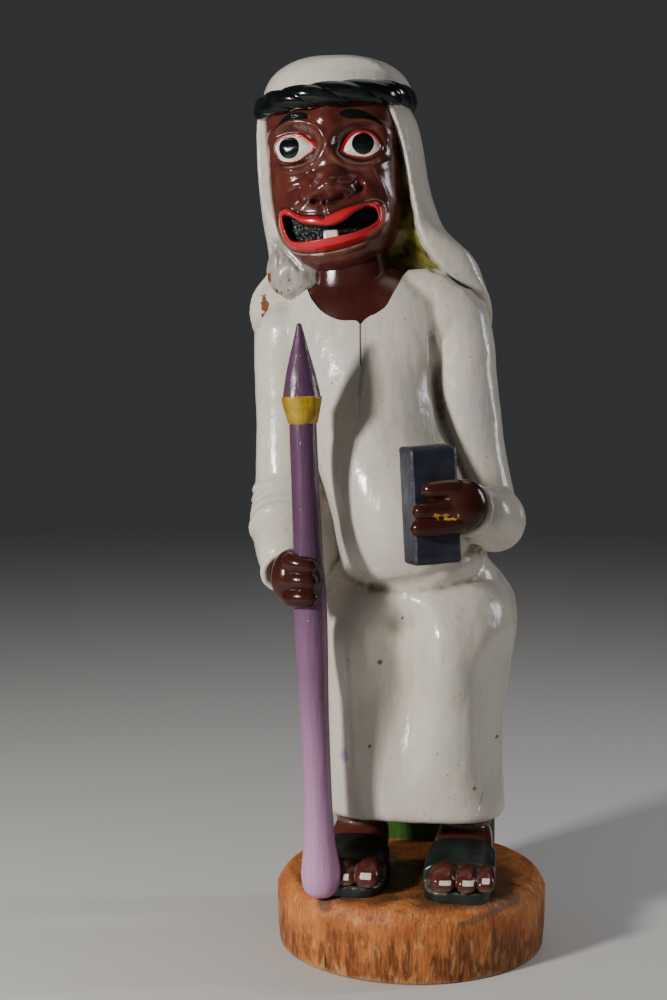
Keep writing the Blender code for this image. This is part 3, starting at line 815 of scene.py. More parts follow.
RIGHT_BROW = closed_curve((
    (13.9, 25.4), (15.2, 27.2), (18.3, 28.7), (22, 29.1), (26.8, 28.6), (32, 27.4), (37.1, 25.2),
    (41.5, 22.6), (45.2, 19.6), (48.4, 15.6), (47.2, 14.6), (43.5, 16.8), (39.7, 18.4), (35, 19.4),
    (31.4, 19.8), (26, 20), (20.8, 20.4), (17, 22), (14.6, 23.6),
))
LIPS = closed_curve((
    (-46.9, -51.6), (-39.6, -50.9), (-34.3, -52.8), (-25, -58.8), (-10.9, -60.8), (-4.6, -62.5), (2, -60),
    (14.8, -55.9), (31.2, -52.7), (41, -52.3), (45.3, -57.8), (44.5, -68.1), (37.1, -76.2), (22.6, -83.8),
    (1.3, -88.4), (-18.4, -89), (-34.4, -85.5), (-43.6, -77.8), (-47.6, -66.9), (-48.5, -58.4),
))
MOUTH = closed_curve((
    (-44.2, -57.3), (-40, -55), (-30.8, -59.5), (-24.3, -64), (-7.2, -68.2), (3.4, -68.3), (12, -65.4),
    (20.7, -59.3), (31.1, -54.2), (37.9, -55.3), (40.8, -61), (39.9, -67.1), (31.6, -73.1), (19.2, -77.1),
    (2.3, -79.4), (-12.8, -80.6), (-26.2, -80.8), (-36.8, -78.1), (-42.8, -68),
))
print("face:", len(LIPS) + len(MOUTH), "points round the lips and the mouth")

# %% [markdown]
# The face is cut in layers, as a carver would: the deep eye sockets first, with the bridge of the nose left
# standing between them, then the bulging eyes with a raised rim and two creases under each, the broad nose,
# the folds that run down from its wings, and last the grin, whose thick lips stand round a hollow mouth.

# %% Head: its forms in relief
SOCKETS = (((-30, 2), (28, 19.5)), ((31, -1), (26.5, 19)))
SOCKET_DEEP = 6.5
SOCKET_EDGE = 2.1
BALL_HIGH = 7.0
BALL_SHOULDER = 11
LID_HIGH = 2.8
SECOND_CREASE_HIGH = 0.7
LIPS_PROUD = 4.6
LIP_GROOVE = 0.9
MOUTH_DEEP = 17
BROW_LINE = (
    (-50, 14), (-42, 23), (-30, 27), (-18, 25), (-8, 23), (8, 21), (18, 24), (30, 25), (42, 20), (52, 8),
)
MUZZLE_EDGE = (
    (41, -24), (44.5, -33), (48, -43.4), (49, -55), (47, -67), (39, -80), (26, -87.5), (7, -93),
    (-14, -93.5), (-33, -89),
)
BUMPS = {
    "tip of the nose": ((3, -34.5), (23, 17), 12),
    "left wing": ((-11, -40), (11, 9), 6.5),
    "right wing": ((17, -38), (10, 9), 6),
    "left nostril": ((-12, -47), (5.5, 4), -7),
    "crease beside the right wing": ((27, -38), (6, 8), -4.5),
    "left cheek": ((-38, -22), (20, 17), 3),
    "right cheek": ((43, -26), (17, 22), 4),
    "muzzle": ((-1, -68), (66, 44), 6.5),
    "chin": ((0, -98), (32, 9), 2.2),
}
RIDGES = {
    "brow": (BROW_LINE, 8, 1.4),
    "bridge of the nose": (((2, 36), (1.5, 8), (1.5, -16), (2.5, -34)), 16, 4.5),
    "slot under the nose": (((-3, -49.5), (5, -49), (12.4, -45.5)), 3.2, -4),
    "crease beside the left wing": (((-23, -36), (-24, -43)), 4, -1.6),
    "left fold, upper": (((-14, -25), (-25, -30), (-37, -33)), 4.2, 1.6),
    "left fold, lower": (((-18, -34), (-28, -45), (-37, -51)), 9, 3.4),
    "right fold": (((24, -33), (36, -43), (46, -53)), 9, 3),
    "hollow over the lip": (((-6, -52), (-5, -60)), 5, -1.6),
    "edge of the muzzle": (MUZZLE_EDGE, 2.4, 1.3),
}
print("face:", len(BUMPS), "bumps and", len(RIDGES), "ridges")

# %% [markdown]
# The eyes and the mouth need more than bumps, because they follow drawn outlines. The ball of an eye is a
# quarter circle over the distance in from the white's edge, and the lids are crests at set distances
# outside it. The lips stand out inside one outline, and the mouth is sunk inside another.

# %% Head: the carving of the face
def flattened(u, h, centre, weight):
    """How far the bare surface has to come forward to lie in a plane of half its slope beside a centre."""
    run = 4.0
    slope = (bare_face(centre[0] + run, h) - bare_face(centre[0] - run, h)) / (2 * run)
    plane = bare_face(centre[0] + 0 * u, h) + 0.5 * slope * (u - centre[0])
    return (bare_face(u, h) - plane) * weight


def eye_carving(u, h, white, centre, radii):
    """One eye in its socket: a hollow with a firm edge, a domed ball, its rim and the creases below it."""
    out = oval_reach(u, h, centre, radii)
    inside = 1 - ease(out, 0.62, 1.02)
    socket = SOCKET_EDGE * crest(out, 1.07, 0.12) - SOCKET_DEEP * inside + flattened(u, h, centre, inside)
    edge = edge_distance(u, h, white)
    deep = np.clip(-edge / BALL_SHOULDER, 0, 1)
    ball = BALL_HIGH * np.sqrt(np.clip(1 - (1 - deep) ** 2, 0, 1)) * (edge < 0)
    lids = LID_HIGH * crest(edge, 1.4, 1.6) + crest(edge, 5.6, 1.1) * (h < centre[1] + 2)
    lids += SECOND_CREASE_HIGH * crest(edge, 8.4, 1.0) * ease(centre[1] - h, 0, 6)
    return socket + ball + lids


def mouth_carving(u, h):
    lips, hole = edge_distance(u, h, LIPS), edge_distance(u, h, MOUTH)
    pout = LIPS_PROUD * (1 - ease(lips, -3.0, 1.2)) - LIP_GROOVE * crest(lips, 2.2, 1.3)
    return pout - MOUTH_DEEP * (1 - ease(hole, -2.6, 0.4))


def face_carving(u, h):
    """How far the carved face stands before the bare one."""
    eyes = sum(eye_carving(u, h, white, *socket) for white, socket in zip((LEFT_WHITE, RIGHT_WHITE), SOCKETS))
    bumps = sum(bump(u, h, *form) for form in BUMPS.values())
    ridges = sum(ridge(u, h, *form) for form in RIDGES.values())
    return eyes + bumps + ridges + mouth_carving(u, h)


# %% [markdown]
# The rows of the head's skin run round it. Their points are close together over the face and wide apart
# behind, so that most of them are where the small cuts are. Each painted outline is then measured on those
# points and kept for the paint.

# %% Head: its skin
FACE_COLUMNS = 170
BACK_COLUMNS = 110
FACE_SHARE = 0.95
HEAD_STEPS = 21
RED_RIMS = ((LEFT_WHITE, (1.5, 0.8)), (RIGHT_WHITE, (-1.2, 0.6)))
RIM_WIDTH = 1.6
DUSTY_LINE_OUT = 2.7

front_across = np.linspace(-FACE_SHARE, FACE_SHARE, FACE_COLUMNS)
front_along = -(1 - np.abs(front_across) ** HEAD_SQUARENESS) ** (1 / HEAD_SQUARENESS)
turn = math.acos(FACE_SHARE ** (HEAD_SQUARENESS / 2))
back_turns = np.linspace(-turn, math.pi + turn, BACK_COLUMNS + 2)[1:-1]
back_across, back_along = rounded(back_turns, HEAD_SQUARENESS)
across = np.concatenate((front_across, back_across))
along = np.concatenate((front_along, back_along))
rows = flowing(HEAD_STATIONS, HEAD_STEPS)
height, middle, half, front, back = (column[:, None] for column in rows.T)
u = middle + half * across
h = height + 0 * u
depth = (front + back) / 2 + (back - front) / 2 * along
carved = (along < 0) * (1 - ease(np.abs(across), 0.86, 0.97)) + 0 * h
flat_u, flat_h = u.ravel(), h.ravel()
depth = depth - face_carving(flat_u, flat_h).reshape(u.shape) * carved
head_points, head_faces = skin_over(framed(np.stack((u, depth, h), axis=-1), HEAD))
head = mesh_piece("head", [(head_points, head_faces)])
on_front = carved.ravel() > 0
painted = {
    "white": (LEFT_WHITE, RIGHT_WHITE), "brow": (LEFT_BROW, RIGHT_BROW), "lips": (LIPS,), "mouth": (MOUTH,),
}
for name, curves in painted.items():
    note(head, name, np.min([edge_distance(flat_u, flat_h, curve) for curve in curves], axis=0), on_front)
note(head, "pupil", nearest_spot(flat_u, flat_h, PUPILS), on_front)
rims = [edge_distance(flat_u - aside, flat_h - lift, curve) for curve, (aside, lift) in RED_RIMS]
note(head, "rim", np.min(rims, axis=0) - RIM_WIDTH, on_front)
below_lips = edge_distance(flat_u, flat_h, LIPS) + 30 * ease(flat_h, -62, -56) * (flat_u < 30)
note(head, "dusty_line", np.abs(below_lips - DUSTY_LINE_OUT), on_front)
note(head, "hollow", hollows(head, 8))

# %% [markdown]
# The skin is a dark red-brown gloss, with an orange cast where the coat is thin, and it is darkened nearly to
# black in its hollows as painted shade. Hands and feet have the same coat, only darker, so it is a helper
# that takes how deep the colour is.

# %% Skin gloss
SKIN_RED = (0.088, 0.020, 0.015)
SKIN_ORANGE = (0.14, 0.043, 0.024)
# A dark for random flecks and for the painted shade in the hollows.
SKIN_DARK = (0.016, 0.005, 0.005)


def skin_gloss(name, depth=1.0, shine=0.45):
    """The skin's coat. A depth under 1 is a darker coat."""
    red, orange = (tuple(depth * part for part in colour) for colour in (SKIN_RED, SKIN_ORANGE))
    finish = Finish(name, 0.17, Specular_IOR_Level=shine)
    coat = finish.flecked(red, orange, (28, 3), (0.5, 0.75))
    coat = finish.flecked(coat, SKIN_DARK, (55, 4), (0.52, 0.8), 0.6)
    # Painted shade: the coat goes nearly black where the measured hollow is deep.
    coat = finish.over(coat, SKIN_DARK, finish.between(finish.reading("hollow"), 0.1, 1.0, 0, 0.9))
    finish.relief(finish.cloud(60, 3), 0.0003)
    finish.relief(finish.cloud(900, 2), 0.0001)
    return finish, coat


def brushed_to(finish, attribute, edge=0.0, softness=0.22):
    """1 where a measured distance is inside the edge of the paint, with a slightly unsteady brush line."""
    wobble = finish.between(finish.cloud(120, 2), 0, 1, -0.35, 0.35)
    distance = finish.math("ADD", finish.reading(attribute), wobble)
    return finish.between(distance, edge - softness, edge + softness, 1, 0)


# %% [markdown]
# The brows, the eyes, the rims and the lips are painted over the skin in flat colours, and the hollow of the
# mouth is black and gritty, so that it sparkles, with grey speckles painted on it as glints, more of them on
# its lit left side. Each brush edge is a distance that was measured on the skin, cut off sharply.

# %% Head: its paint
BROW_BLACK = (0.005, 0.007, 0.006)
RIM_RED = (0.42, 0.008, 0.018)
EYE_WHITE = (0.74, 0.71, 0.64)
PUPIL_BLACK = (0.003, 0.005, 0.005)
LIP_DUST = (0.3, 0.19, 0.15)
LIP_RED = (0.50, 0.014, 0.022)
MOUTH_BLACK = (0.006, 0.008, 0.008)
# The grey of the painted glints in the mouth.
GLINT_GREY = (0.17, 0.19, 0.19)


def face_paint(name):
    finish, coat = skin_gloss(name)
    coat = finish.over(coat, BROW_BLACK, brushed_to(finish, "brow", 0, 0.5))
    for attribute, colour in (("rim", RIM_RED), ("white", EYE_WHITE), ("pupil", PUPIL_BLACK)):
        coat = finish.over(coat, colour, brushed_to(finish, attribute))
    broken = finish.between(finish.cloud(220, 3), 0.3, 0.5)
    coat = finish.over(coat, LIP_DUST, finish.product(brushed_to(finish, "dusty_line", 0.45), broken))
    coat = finish.over(coat, LIP_RED, brushed_to(finish, "lips"))
    inside = brushed_to(finish, "mouth", -0.6)
    coat = finish.over(coat, MOUTH_BLACK, inside)
    # Painted glints: grey speckles in the mouth, stronger towards its lit left side.
    sideways = finish.add("ShaderNodeSeparateXYZ", {"Vector": finish.here}).outputs["X"]
    lit = finish.between(sideways, -0.055, -0.085, 0.05, 0.8)
    speckle = finish.product(finish.between(finish.cloud(620, 1), 0.56, 0.66), lit)
    finish.paint(finish.over(coat, GLINT_GREY, finish.product(speckle, inside)))
    finish.relief(finish.product(finish.cloud(520, 2), inside), 0.0035)
    finish.rough(finish.between(inside, 0, 1, 0.16, 0.24))
    return finish


dress(head, face_paint("face_gloss"), "skin_paint", "carved_figure")

# %% [markdown]
# One tooth stands on the lower lip: a small squared peg, painted white. It is a superellipsoid, which is a
# ball that has been squared off, because a carver leaves such a peg with flat faces and soft corners.

# %% Tooth
TOOTH_PLACE = (0, -79.2)
TOOTH_HALF = (6.6, 4.5, 6.2)
TOOTH_SUNK = 3.0
TOOTH_SQUARED = 0.35
TOOTH_WHITE = (0.72, 0.69, 0.6)


def tooth_paint(name):
    finish = Finish(name, 0.2)
    shaded = tuple(0.8 * part for part in TOOTH_WHITE)
    finish.paint(finish.flecked(TOOTH_WHITE, shaded, (160, 3), (0.4, 0.7)))
    finish.relief(finish.cloud(300, 3), 0.0002)
    return finish


ball, tooth_faces = oval((0, 0, 0), (1, 1, 1))
peg = np.sign(ball) * np.abs(ball) ** TOOTH_SQUARED * TOOTH_HALF
peg = peg + (TOOTH_PLACE[0], float(bare_face(*TOOTH_PLACE)) - TOOTH_SUNK, TOOTH_PLACE[1])
tooth = mesh_piece("tooth", [(framed(peg, HEAD), tooth_faces)])
dress(tooth, tooth_paint("tooth_white"), "skin_paint", "carved_figure")

# %% [markdown]
# The neck rises out of the robe's round opening. Under it lies a little of the chest, cut a paint's
# thickness below the robe, so the robe's edge casts a fine line. The chest is the trunk's own form drawn in
# slightly. To both sides, where the robe covers it, it is pushed well back, so that it can't come through
# under the arms.

# %% Neck and neckline
NECKLINE = (
    (-99, 530), (-93, 518), (-88, 509), (-84.4, 504.6), (-78.9, 498.4), (-71.8, 493.5), (-63.4, 489.8),
    (-57, 488.6), (-46, 488.4), (-41.8, 485.5), (-38.5, 489), (-33, 492.6), (-29.3, 494), (-20.6, 500.5),
    (-14.8, 512), (-9, 526.4), (-8, 545), (-92, 545),
)
CHEST_BOTTOM = 460
CHEST_INSET = 1.6
CHEST_MIDDLE = -51
CHEST_SIDES = (50, 64)
CHEST_SIDES_BACK = 24
NECK_ROWS = (
    (485, -50, 52, -24, 42), (500, -51, 46, -25, 42), (515, -53, 40, -22, 43), (530, -56, 36, -20, 46),
    (550, -58, 35, -19, 48), (572, -62, 36, -18, 50),
)


def drawn_in(stations, inset):
    return [(z, middle, half - inset, front + inset, back - inset)
            for z, middle, half, front, back in stations]


chest_rows = drawn_in([row for row in TORSO if row[0] > CHEST_BOTTOM], CHEST_INSET)
chest_points, chest_faces = loft(chest_rows, TORSO_SQUARENESS)
aside = np.abs(chest_points[:, 0] - CHEST_MIDDLE)
chest_points[:, 1] += CHEST_SIDES_BACK * ease(aside, *CHEST_SIDES) * (chest_points[:, 1] < 20)
neck = fuse("neck", [(chest_points, chest_faces), loft(NECK_ROWS)], 1.6, 3)
neck_gloss, neck_coat = skin_gloss("neck_gloss", 0.5)
neck_gloss.paint(neck_coat)
note(neck, "hollow", hollows(neck, 8))
dress(neck, neck_gloss, "skin_paint", "carved_figure")

# %% [markdown]
# The robe's opening is cut with an outline that was drawn on the front: a thick plate of that outline is
# taken out of the robe by a Boolean, and then thrown away. The cut's edge is kept sharp in the shading,
# because the paint has a crisp edge there.

# %% Neckline: its cut
neckline = closed_curve(NECKLINE)
opening = mesh_piece("opening", [skin_over([[(x, y, z) for x, z in neckline] for y in (-80, 20)])])
cut = robe.modifiers.new("Neckline", "BOOLEAN")
cut.operation = "DIFFERENCE"
cut.object = opening
settle(robe)
bpy.data.objects.remove(opening)
robe.data.shade_smooth()
robe.data.set_sharp_from_angle(angle=math.radians(50))

# %% [markdown]
# The headcloth falls from the ring over the shoulders, longer behind. It is one thick bell, so it is a loft
# with sloping rings. To the figure's left its front edge is a sharp crest, with a deep olive-stained recess
# between it and the jaw. To the figure's right it lies close to the face, and a rough web of wood still
# joins it to the neck. Both are worked into the bell's own points before it is fused, because the crest
# then keeps a carver's firm edge.

# %% Headcloth: its lines
BELL = (
    (482, -45, 103, 16, 96, 0.70), (485, -45.5, 108.5, 12, 100, 0.70), (492, -45.5, 112, 6, 102, 0.70),
    (503, -43.5, 110, -4, 101, 0.65), (517, -39.5, 101, -12, 100, 0.6), (533, -40, 95.5, -18, 99, 0.5),
    (550, -47, 88.5, -22, 98, 0.35), (569, -56, 82, -24, 97, 0.2), (590, -62, 79, -26, 96, 0.1),
    (619, -67, 76, -28, 95, 0), (658, -71, 73, -30, 94, 0), (675, -72.5, 68, -34, 90, 0),
    (690, -73, 60, -40, 84, 0),
)
CREST = (
    (-21, 700), (-19.6, 675.3), (-13.8, 661), (-8.7, 645.3), (-5.1, 628.2), (-1.3, 606.7), (2.3, 589.5),
    (6.1, 569.5), (11.2, 555.1), (19.9, 543.5), (28.6, 533.4), (40.3, 523.2), (48.9, 518.8), (59.4, 506.3),
    (67.7, 497.7), (68.2, 488),
)
RECESS_DEPTH = 30
RECESS_TOP = 674
WEB_END = -79.5
BESIDE_FACE = 14
BESIDE_NECK = 26
NEAREST_AT = (
    (540, -16), (550, -14), (565, -10), (574, -5), (588, 0), (600, 6), (620, 10), (645, 7), (671, 0),
    (700, 0),
)
FACE_OUTLINE = (
    (-57.6, 60), (-57.6, 33), (-60.4, 7), (-60.5, -19), (-59, -37), (-56, -50), (-52, -64), (-47, -73),
    (-40, -83), (-29.5, -92), (-16.5, -100), (4, -101), (27, -93), (44, -81), (51.5, -60), (57, -39),
    (61, -4), (60, 60),
)


def into_recess(x, z):
    """How far places lie to the face's side of the crest, and zero outside it."""
    xs, zs = np.array(CREST).T
    return np.where(x < np.interp(z, zs[::-1], xs[::-1]), line_distance(x, z, CREST), 0)


def fitted_to_face(points):
    """The bell's points, moved back where the face, the neck and the recess are."""
    x, y, z = points.T
    level = framed(points, HEAD.inverted())
    inside_face = -edge_distance(level[:, 0], level[:, 2], FACE_OUTLINE)
    limit = np.interp(z, *np.array(NEAREST_AT).T)
    limit = limit + (BESIDE_FACE - limit) * ease(inside_face, 2, 8)
    left = x < HEAD.translation.x
    in_front = y < 40
    moved = np.where(left & in_front & (z > 540), np.maximum(y, limit), y)
    moved = moved + BESIDE_NECK * ease(x, WEB_END - 1.5, WEB_END + 1.5) * left * (z <= 560) * in_front
    recess = RECESS_DEPTH * smooth_rise(into_recess(x, z), 7) * (~left) * (1 - ease(y, 10, 80))
    return np.stack((x, moved + recess, z), axis=1)


print("headcloth:", len(BELL), "drawn rings")

# %% [markdown]
# Three forms are fused: the bell, the web beside the neck and a crown that domes over the ring. The web's
# splits and its gnarled wood are cut into the skin afterwards, along its own facings, as a blunt chisel
# would leave them.

# %% Headcloth: its skin
WEB = ((-104, -1, 535), (27, 17, 27))
WEB_SPLITS = (
    ((-131, 566), (-117, 548), (-117, 538)), ((-122, 560), (-108, 545), (-97, 534)),
    ((-104, 556), (-93, 541)),
)
CROWN_FOOT, CROWN_HIGH = 684, 38
CROWN_PLACE = (-70, 21)
CROWN_HALF = (67, 63, 66)
CROWN_FULLNESS = 0.65
CLOTH_GRAIN = ((0.45, (24, 24, 40), 3), (0.2, (7, 7, 9), 5))


def crown_station(rise):
    """A ring of the crown, at an angle up its dome."""
    (x, y), (half, front, back) = CROWN_PLACE, CROWN_HALF
    share = math.cos(rise) ** CROWN_FULLNESS
    return (CROWN_FOOT + CROWN_HIGH * math.sin(rise), x, half * share, y - front * share, y + back * share)


bell_points, bell_faces = loft(BELL, squareness=2.6, sides=400, steps=12)
web_points, web_faces = oval(*WEB, rings=40)
web_points = web_points + 1.4 * grain(web_points, (7, 9, 11), 2)[:, None] * (0.6, 1, 0.3)
rises = np.linspace(0, math.pi / 2, 28)[:-1]
headcloth = fuse("headcloth", [
    (fitted_to_face(bell_points), bell_faces),
    (fitted_to_face(web_points), web_faces),
    loft([crown_station(rise) for rise in rises], squareness=2.1, steps=2),
], 1.7, 2)
skin = places(headcloth)
x, y, z = skin.T
on_web = (1 - ease(x, WEB_END + 2, WEB_END + 6)) * ease(x, -134, -124) * (y < 10)
on_web = on_web * ease(z, 503, 512) * (1 - ease(z, 556, 568))
splits = np.min([line_distance(x, z, split) for split in WEB_SPLITS], axis=0)
dents = layered_grain(skin, CLOTH_GRAIN)
gnarls, furrows = grain(skin, (7, 7, 12), 8), grain(skin, (5, 5, 16), 11)
dents += on_web * (0.6 * np.abs(gnarls) - 1.1 * ease(furrows, 0.2, 0.5))
dents -= on_web * 3 * crest(splits, 0, 1.5)
put(headcloth, skin + facings(headcloth) * dents[:, None])

# %% [markdown]
# The cloth has the robe's enamel. Over it lie an olive stain deep in the recess, bare grey wood on the web,
# darkened as painted shade under the cloth, and chips at the left hem, where orange-brown wood and a few
# black pits show.

# %% Headcloth: its stains and chips
CHIPS = (((-127, 528), (2.2, 5)), ((-138.5, 505), (4.5, 8)), ((-141, 497), (3, 4)), ((-121.5, 516), (2, 2)))
BLACK_PITS = (((-116, 514.5), 1.0), ((-109.5, 516.5), 0.8), ((-108, 525), 0.8), ((-131, 509), 1.0))
OLIVE, OLIVE_DARK = (0.20, 0.17, 0.035), (0.035, 0.028, 0.006)
# The web's bare grey wood, darkened as painted shade under the cloth.
WEB_WOOD_IN_SHADE, WEB_WOOD_SHADE_DARK = (0.27, 0.25, 0.225), (0.12, 0.105, 0.085)
CHIP_BROWN = (0.16, 0.055, 0.015)
PIT_BLACK = (0.01, 0.008, 0.006)


def headcloth_paint(name):
    finish, coat = robe_enamel(name)
    olive = finish.flecked(OLIVE, OLIVE_DARK, (60, 4), (0.4, 0.62))
    edge = finish.between(finish.cloud(170, 4), 0.3, 0.7, -1, 1)
    stained = finish.between(finish.math("ADD", finish.reading("recess"), edge), 2.0, 4.5)
    coat = finish.over(coat, olive, stained)
    # The web's bare grey wood is darkened as painted shade under the cloth.
    grey = finish.flecked(WEB_WOOD_IN_SHADE, WEB_WOOD_SHADE_DARK, (90, 5), (0.5, 0.72))
    coat = finish.over(coat, grey, finish.product(finish.reading("web"), 0.85))
    coat = finish.over(coat, CHIP_BROWN, finish.ragged("chip", (170, 4), (-0.45, 0.45), 0.9, 1.0))
    finish.paint(finish.over(coat, PIT_BLACK, finish.between(finish.reading("pit"), -0.3, 0.4, 1, 0)))
    return finish


recess = into_recess(x, z) * (x > HEAD.translation.x) * (y < 45) * (z < RECESS_TOP)
note(headcloth, "recess", recess)
note(headcloth, "web", on_web)
note(headcloth, "chip", nearest_oval(x, z, CHIPS), y < 40)
note(headcloth, "pit", nearest_spot(x, z, BLACK_PITS), y < 10)
note(headcloth, "hollow", hollows(headcloth, 14) * (1 - 0.8 * ease(recess, 1, 4)))
dress(headcloth, headcloth_paint("headcloth_cream"), "robe_paint", "carved_figure")

# %% [markdown]
# The black ring round the head is carved as a rope of three strands. A rope follows a rule, so Geometry
# Nodes make it: a lobed section is swept along an oval path, and the path's tilt grows steadily, which
# winds the strands round it.

# %% Head ring
RING_MIDDLE = (2.5, 2, 43)
RING_TIP = math.radians(1.2)
RING_HALF = (62.5, 66)
RING_TUBE = 10.5
RING_SQUARENESS = 2.3
RING_TURNS = 5
RING_STRANDS = 3
RING_GROOVE = 0.16


def rope_nodes():
    """A node group that winds a rope of some strands along the edges it is given."""
    tree = bpy.data.node_groups.new("Rope along a path", "GeometryNodeTree")
    sockets = {"Path": "Geometry", "Radius": "Float", "Turns": "Float", "Strands": "Float", "Groove": "Float",
               "Paint": "Material"}
    for name, kind in sockets.items():
        tree.interface.new_socket(name, in_out="INPUT", socket_type="NodeSocket" + kind)
    tree.interface.new_socket("Rope", in_out="OUTPUT", socket_type="NodeSocketGeometry")

    def calculate(operation, one, other=0.0):
        return add_node(tree, "ShaderNodeMath", {0: one, 1: other}, operation=operation).outputs[0]

    def product(one, other):
        return calculate("MULTIPLY", one, other)

    def geometry(kind, inputs, output="Geometry", **settings):
        return add_node(tree, "GeometryNode" + kind, inputs, **settings).outputs[output]

    given = tree.nodes.new("NodeGroupInput").outputs
    path = geometry("MeshToCurve", {"Mesh": given["Path"]}, "Curve")
    along = geometry("SplineParameter", {}, "Factor")
    tilt = product(product(along, given["Turns"]), 2 * math.pi)
    wound = geometry("SetCurveTilt", {"Curve": path, "Tilt": tilt}, "Curve")
    circle = geometry("CurvePrimitiveCircle", {"Resolution": 48, "Radius": 1.0}, "Curve", mode="RADIUS")
    half_turns = product(product(along, given["Strands"]), math.pi)
    lobe = calculate("POWER", calculate("ABSOLUTE", calculate("COSINE", half_turns)), 0.7)
    cut_in = product(calculate("SUBTRACT", 1.0, lobe), given["Groove"])
    girth = product(calculate("SUBTRACT", 1.0, cut_in), given["Radius"])
    here = geometry("InputPosition", {}, "Position")
    scaled = add_node(tree, "ShaderNodeVectorMath", {0: here, "Scale": girth}, operation="SCALE")
    section = geometry("SetPosition", {"Geometry": circle, "Position": scaled.outputs["Vector"]})
    rope = geometry("CurveToMesh", {"Curve": wound, "Profile Curve": section}, "Mesh")
    real = geometry("RealizeInstances", {"Geometry": rope})
    painted = geometry("SetMaterial", {"Geometry": real, "Material": given["Paint"]})
    tree.links.new(painted, tree.nodes.new("NodeGroupOutput").inputs["Rope"])
    return tree


# %% [markdown]
# The ring's path is an oval that sits on the brow and tips down a little in front. The group's inputs are
# set before the piece is first evaluated, and the result is made a plain mesh, because the export knows no
# node groups.

# %% Head ring: its path and paint
RING_BLACK, RING_GREEN_BLACK = (0.0035, 0.0045, 0.0045), (0.010, 0.016, 0.013)
RING_OCHRE = (0.05, 0.045, 0.012)


def ring_paint(name):
    finish = Finish(name, 0.14, Specular_IOR_Level=0.35)
    coat = finish.flecked(RING_BLACK, RING_GREEN_BLACK, (60, 4), (0.5, 0.8))
    finish.paint(finish.flecked(coat, RING_OCHRE, (90, 3), (0.70, 0.76), 0.5))
    finish.relief(finish.cloud(110, 2), 0.0003)
    return finish


def rope_round(name, path_points, settings):
    """A plain mesh from the rope nodes, run round a closed path of drawn points."""
    mesh = bpy.data.meshes.new(name)
    count = len(path_points)
    edges = [(index, (index + 1) % count) for index in range(count)]
    mesh.from_pydata(to_world(path_points).tolist(), edges, [])
    piece = new_piece(name, mesh)
    nodes = piece.modifiers.new("Rope", "NODES")
    nodes.node_group = rope_nodes()
    for socket in nodes.node_group.interface.items_tree:
        if socket.name in settings:
            nodes[socket.identifier] = settings[socket.name]
    settle(piece)
    face_outwards(piece.data)
    return piece


ring_frame = HEAD @ Matrix.Translation(RING_MIDDLE) @ Matrix.Rotation(RING_TIP, 4, "X")
ring_path = framed(hoop_path(*RING_HALF, RING_SQUARENESS, 288), ring_frame)
ring_finish = ring_paint("ring_black")
ring = rope_round("head_ring", ring_path, {
    "Radius": RING_TUBE * MM, "Turns": float(RING_TURNS), "Strands": float(RING_STRANDS),
    "Groove": RING_GROOVE, "Paint": ring_finish.material,
})
dress(ring, ring_finish, "black_paint", "carved_figure")

# %% [markdown]
# The figure's right hand is a fist round the staff: the back of the hand faces left, and three fingers bend
# over the front with dark cuts between them. The other hand lies flat on the block, thumb up. Both are
# ovals and tubes fused at a fine voxel, because fingers have to stay apart.

# %% Hands
STAFF_FOOT = (-66.5, -91)
STAFF_LEAN = (-0.037, -0.014)
STAFF_SHAFT_RADIUS = 11.8
FIST_HEIGHT = 272.5
BLOCK_PLACE = (24.5, -92, 334)
BLOCK_TURN = math.radians(28)
BLOCK_LEAN = math.radians(-3.2)
BLOCK_HALF = (20.5, 13, 48.5)
BLOCK_POSE = (Matrix.Translation(BLOCK_PLACE) @ Matrix.Rotation(BLOCK_TURN, 4, "Z")
              @ Matrix.Rotation(BLOCK_LEAN, 4, "Y"))
BLOCK_FACE = BLOCK_POSE @ Matrix.Translation((0, -BLOCK_HALF[1], 0))
GRIP_RADIUS = STAFF_SHAFT_RADIUS + 4.5
GRIP_ANGLES = (190, 305)
FIST_FINGERS = ((12, 7.6, 4.5), (-2, 8.0, 1), (-16, 8.4, -1))
FIST_GIRTHS = (1.05, 1.08, 1.04, 1, 0.98, 0.92)
FIST_PALM = ((-93, -88, 271.5), (17, 23, 23.5))
FIST_HEEL = ((-6, -3, -1.5), (19, 17, 22))
FIST_WRIST = (((-105, -58, 280), (-99, -74, 274), (-94, -88, 272)), (15.5, 17, 18))
FLAT_PALM = ((21.5, -8, -1), (20, 12, 21.3))
FLAT_WRIST = (((62, -60, 326.5), (57, -79, 329), (50, -93, 331.5)), (15, 17, 19))
FLAT_FINGERS = (
    (((22, -8, 12), (4, -8, 14), (-15, -6.5, 13.5)), (9, 8, 6.8)),
    (((22, -9, -2), (0, -7.5, -2.5), (-24, -5, -3.5)), (9.5, 8.4, 7)),
    (((22, -9, -13), (0, -7.5, -16), (-26, -4, -17)), (9.5, 8.4, 7)),
)
HAND_VOXEL = 0.9
HAND_SMOOTHING = 3


def staff_at(height):
    """The staff's axis at a height, as drawn."""
    return np.array((STAFF_FOOT[0] + STAFF_LEAN[0] * height, STAFF_FOOT[1] + STAFF_LEAN[1] * height, height))


def bent_finger(row, girth, drop):
    """One finger of the fist: from the knuckle at the left, over the staff's front, and in at the right."""
    count = len(FIST_GIRTHS)
    angles = np.radians(np.linspace(*GRIP_ANGLES, count))
    bend = (GRIP_RADIUS * np.cos(angles), GRIP_RADIUS * np.sin(angles), drop * np.linspace(0.5, -0.5, count))
    return tube(staff_at(FIST_HEIGHT + row) + np.stack(bend, axis=1), girth * np.array(FIST_GIRTHS))


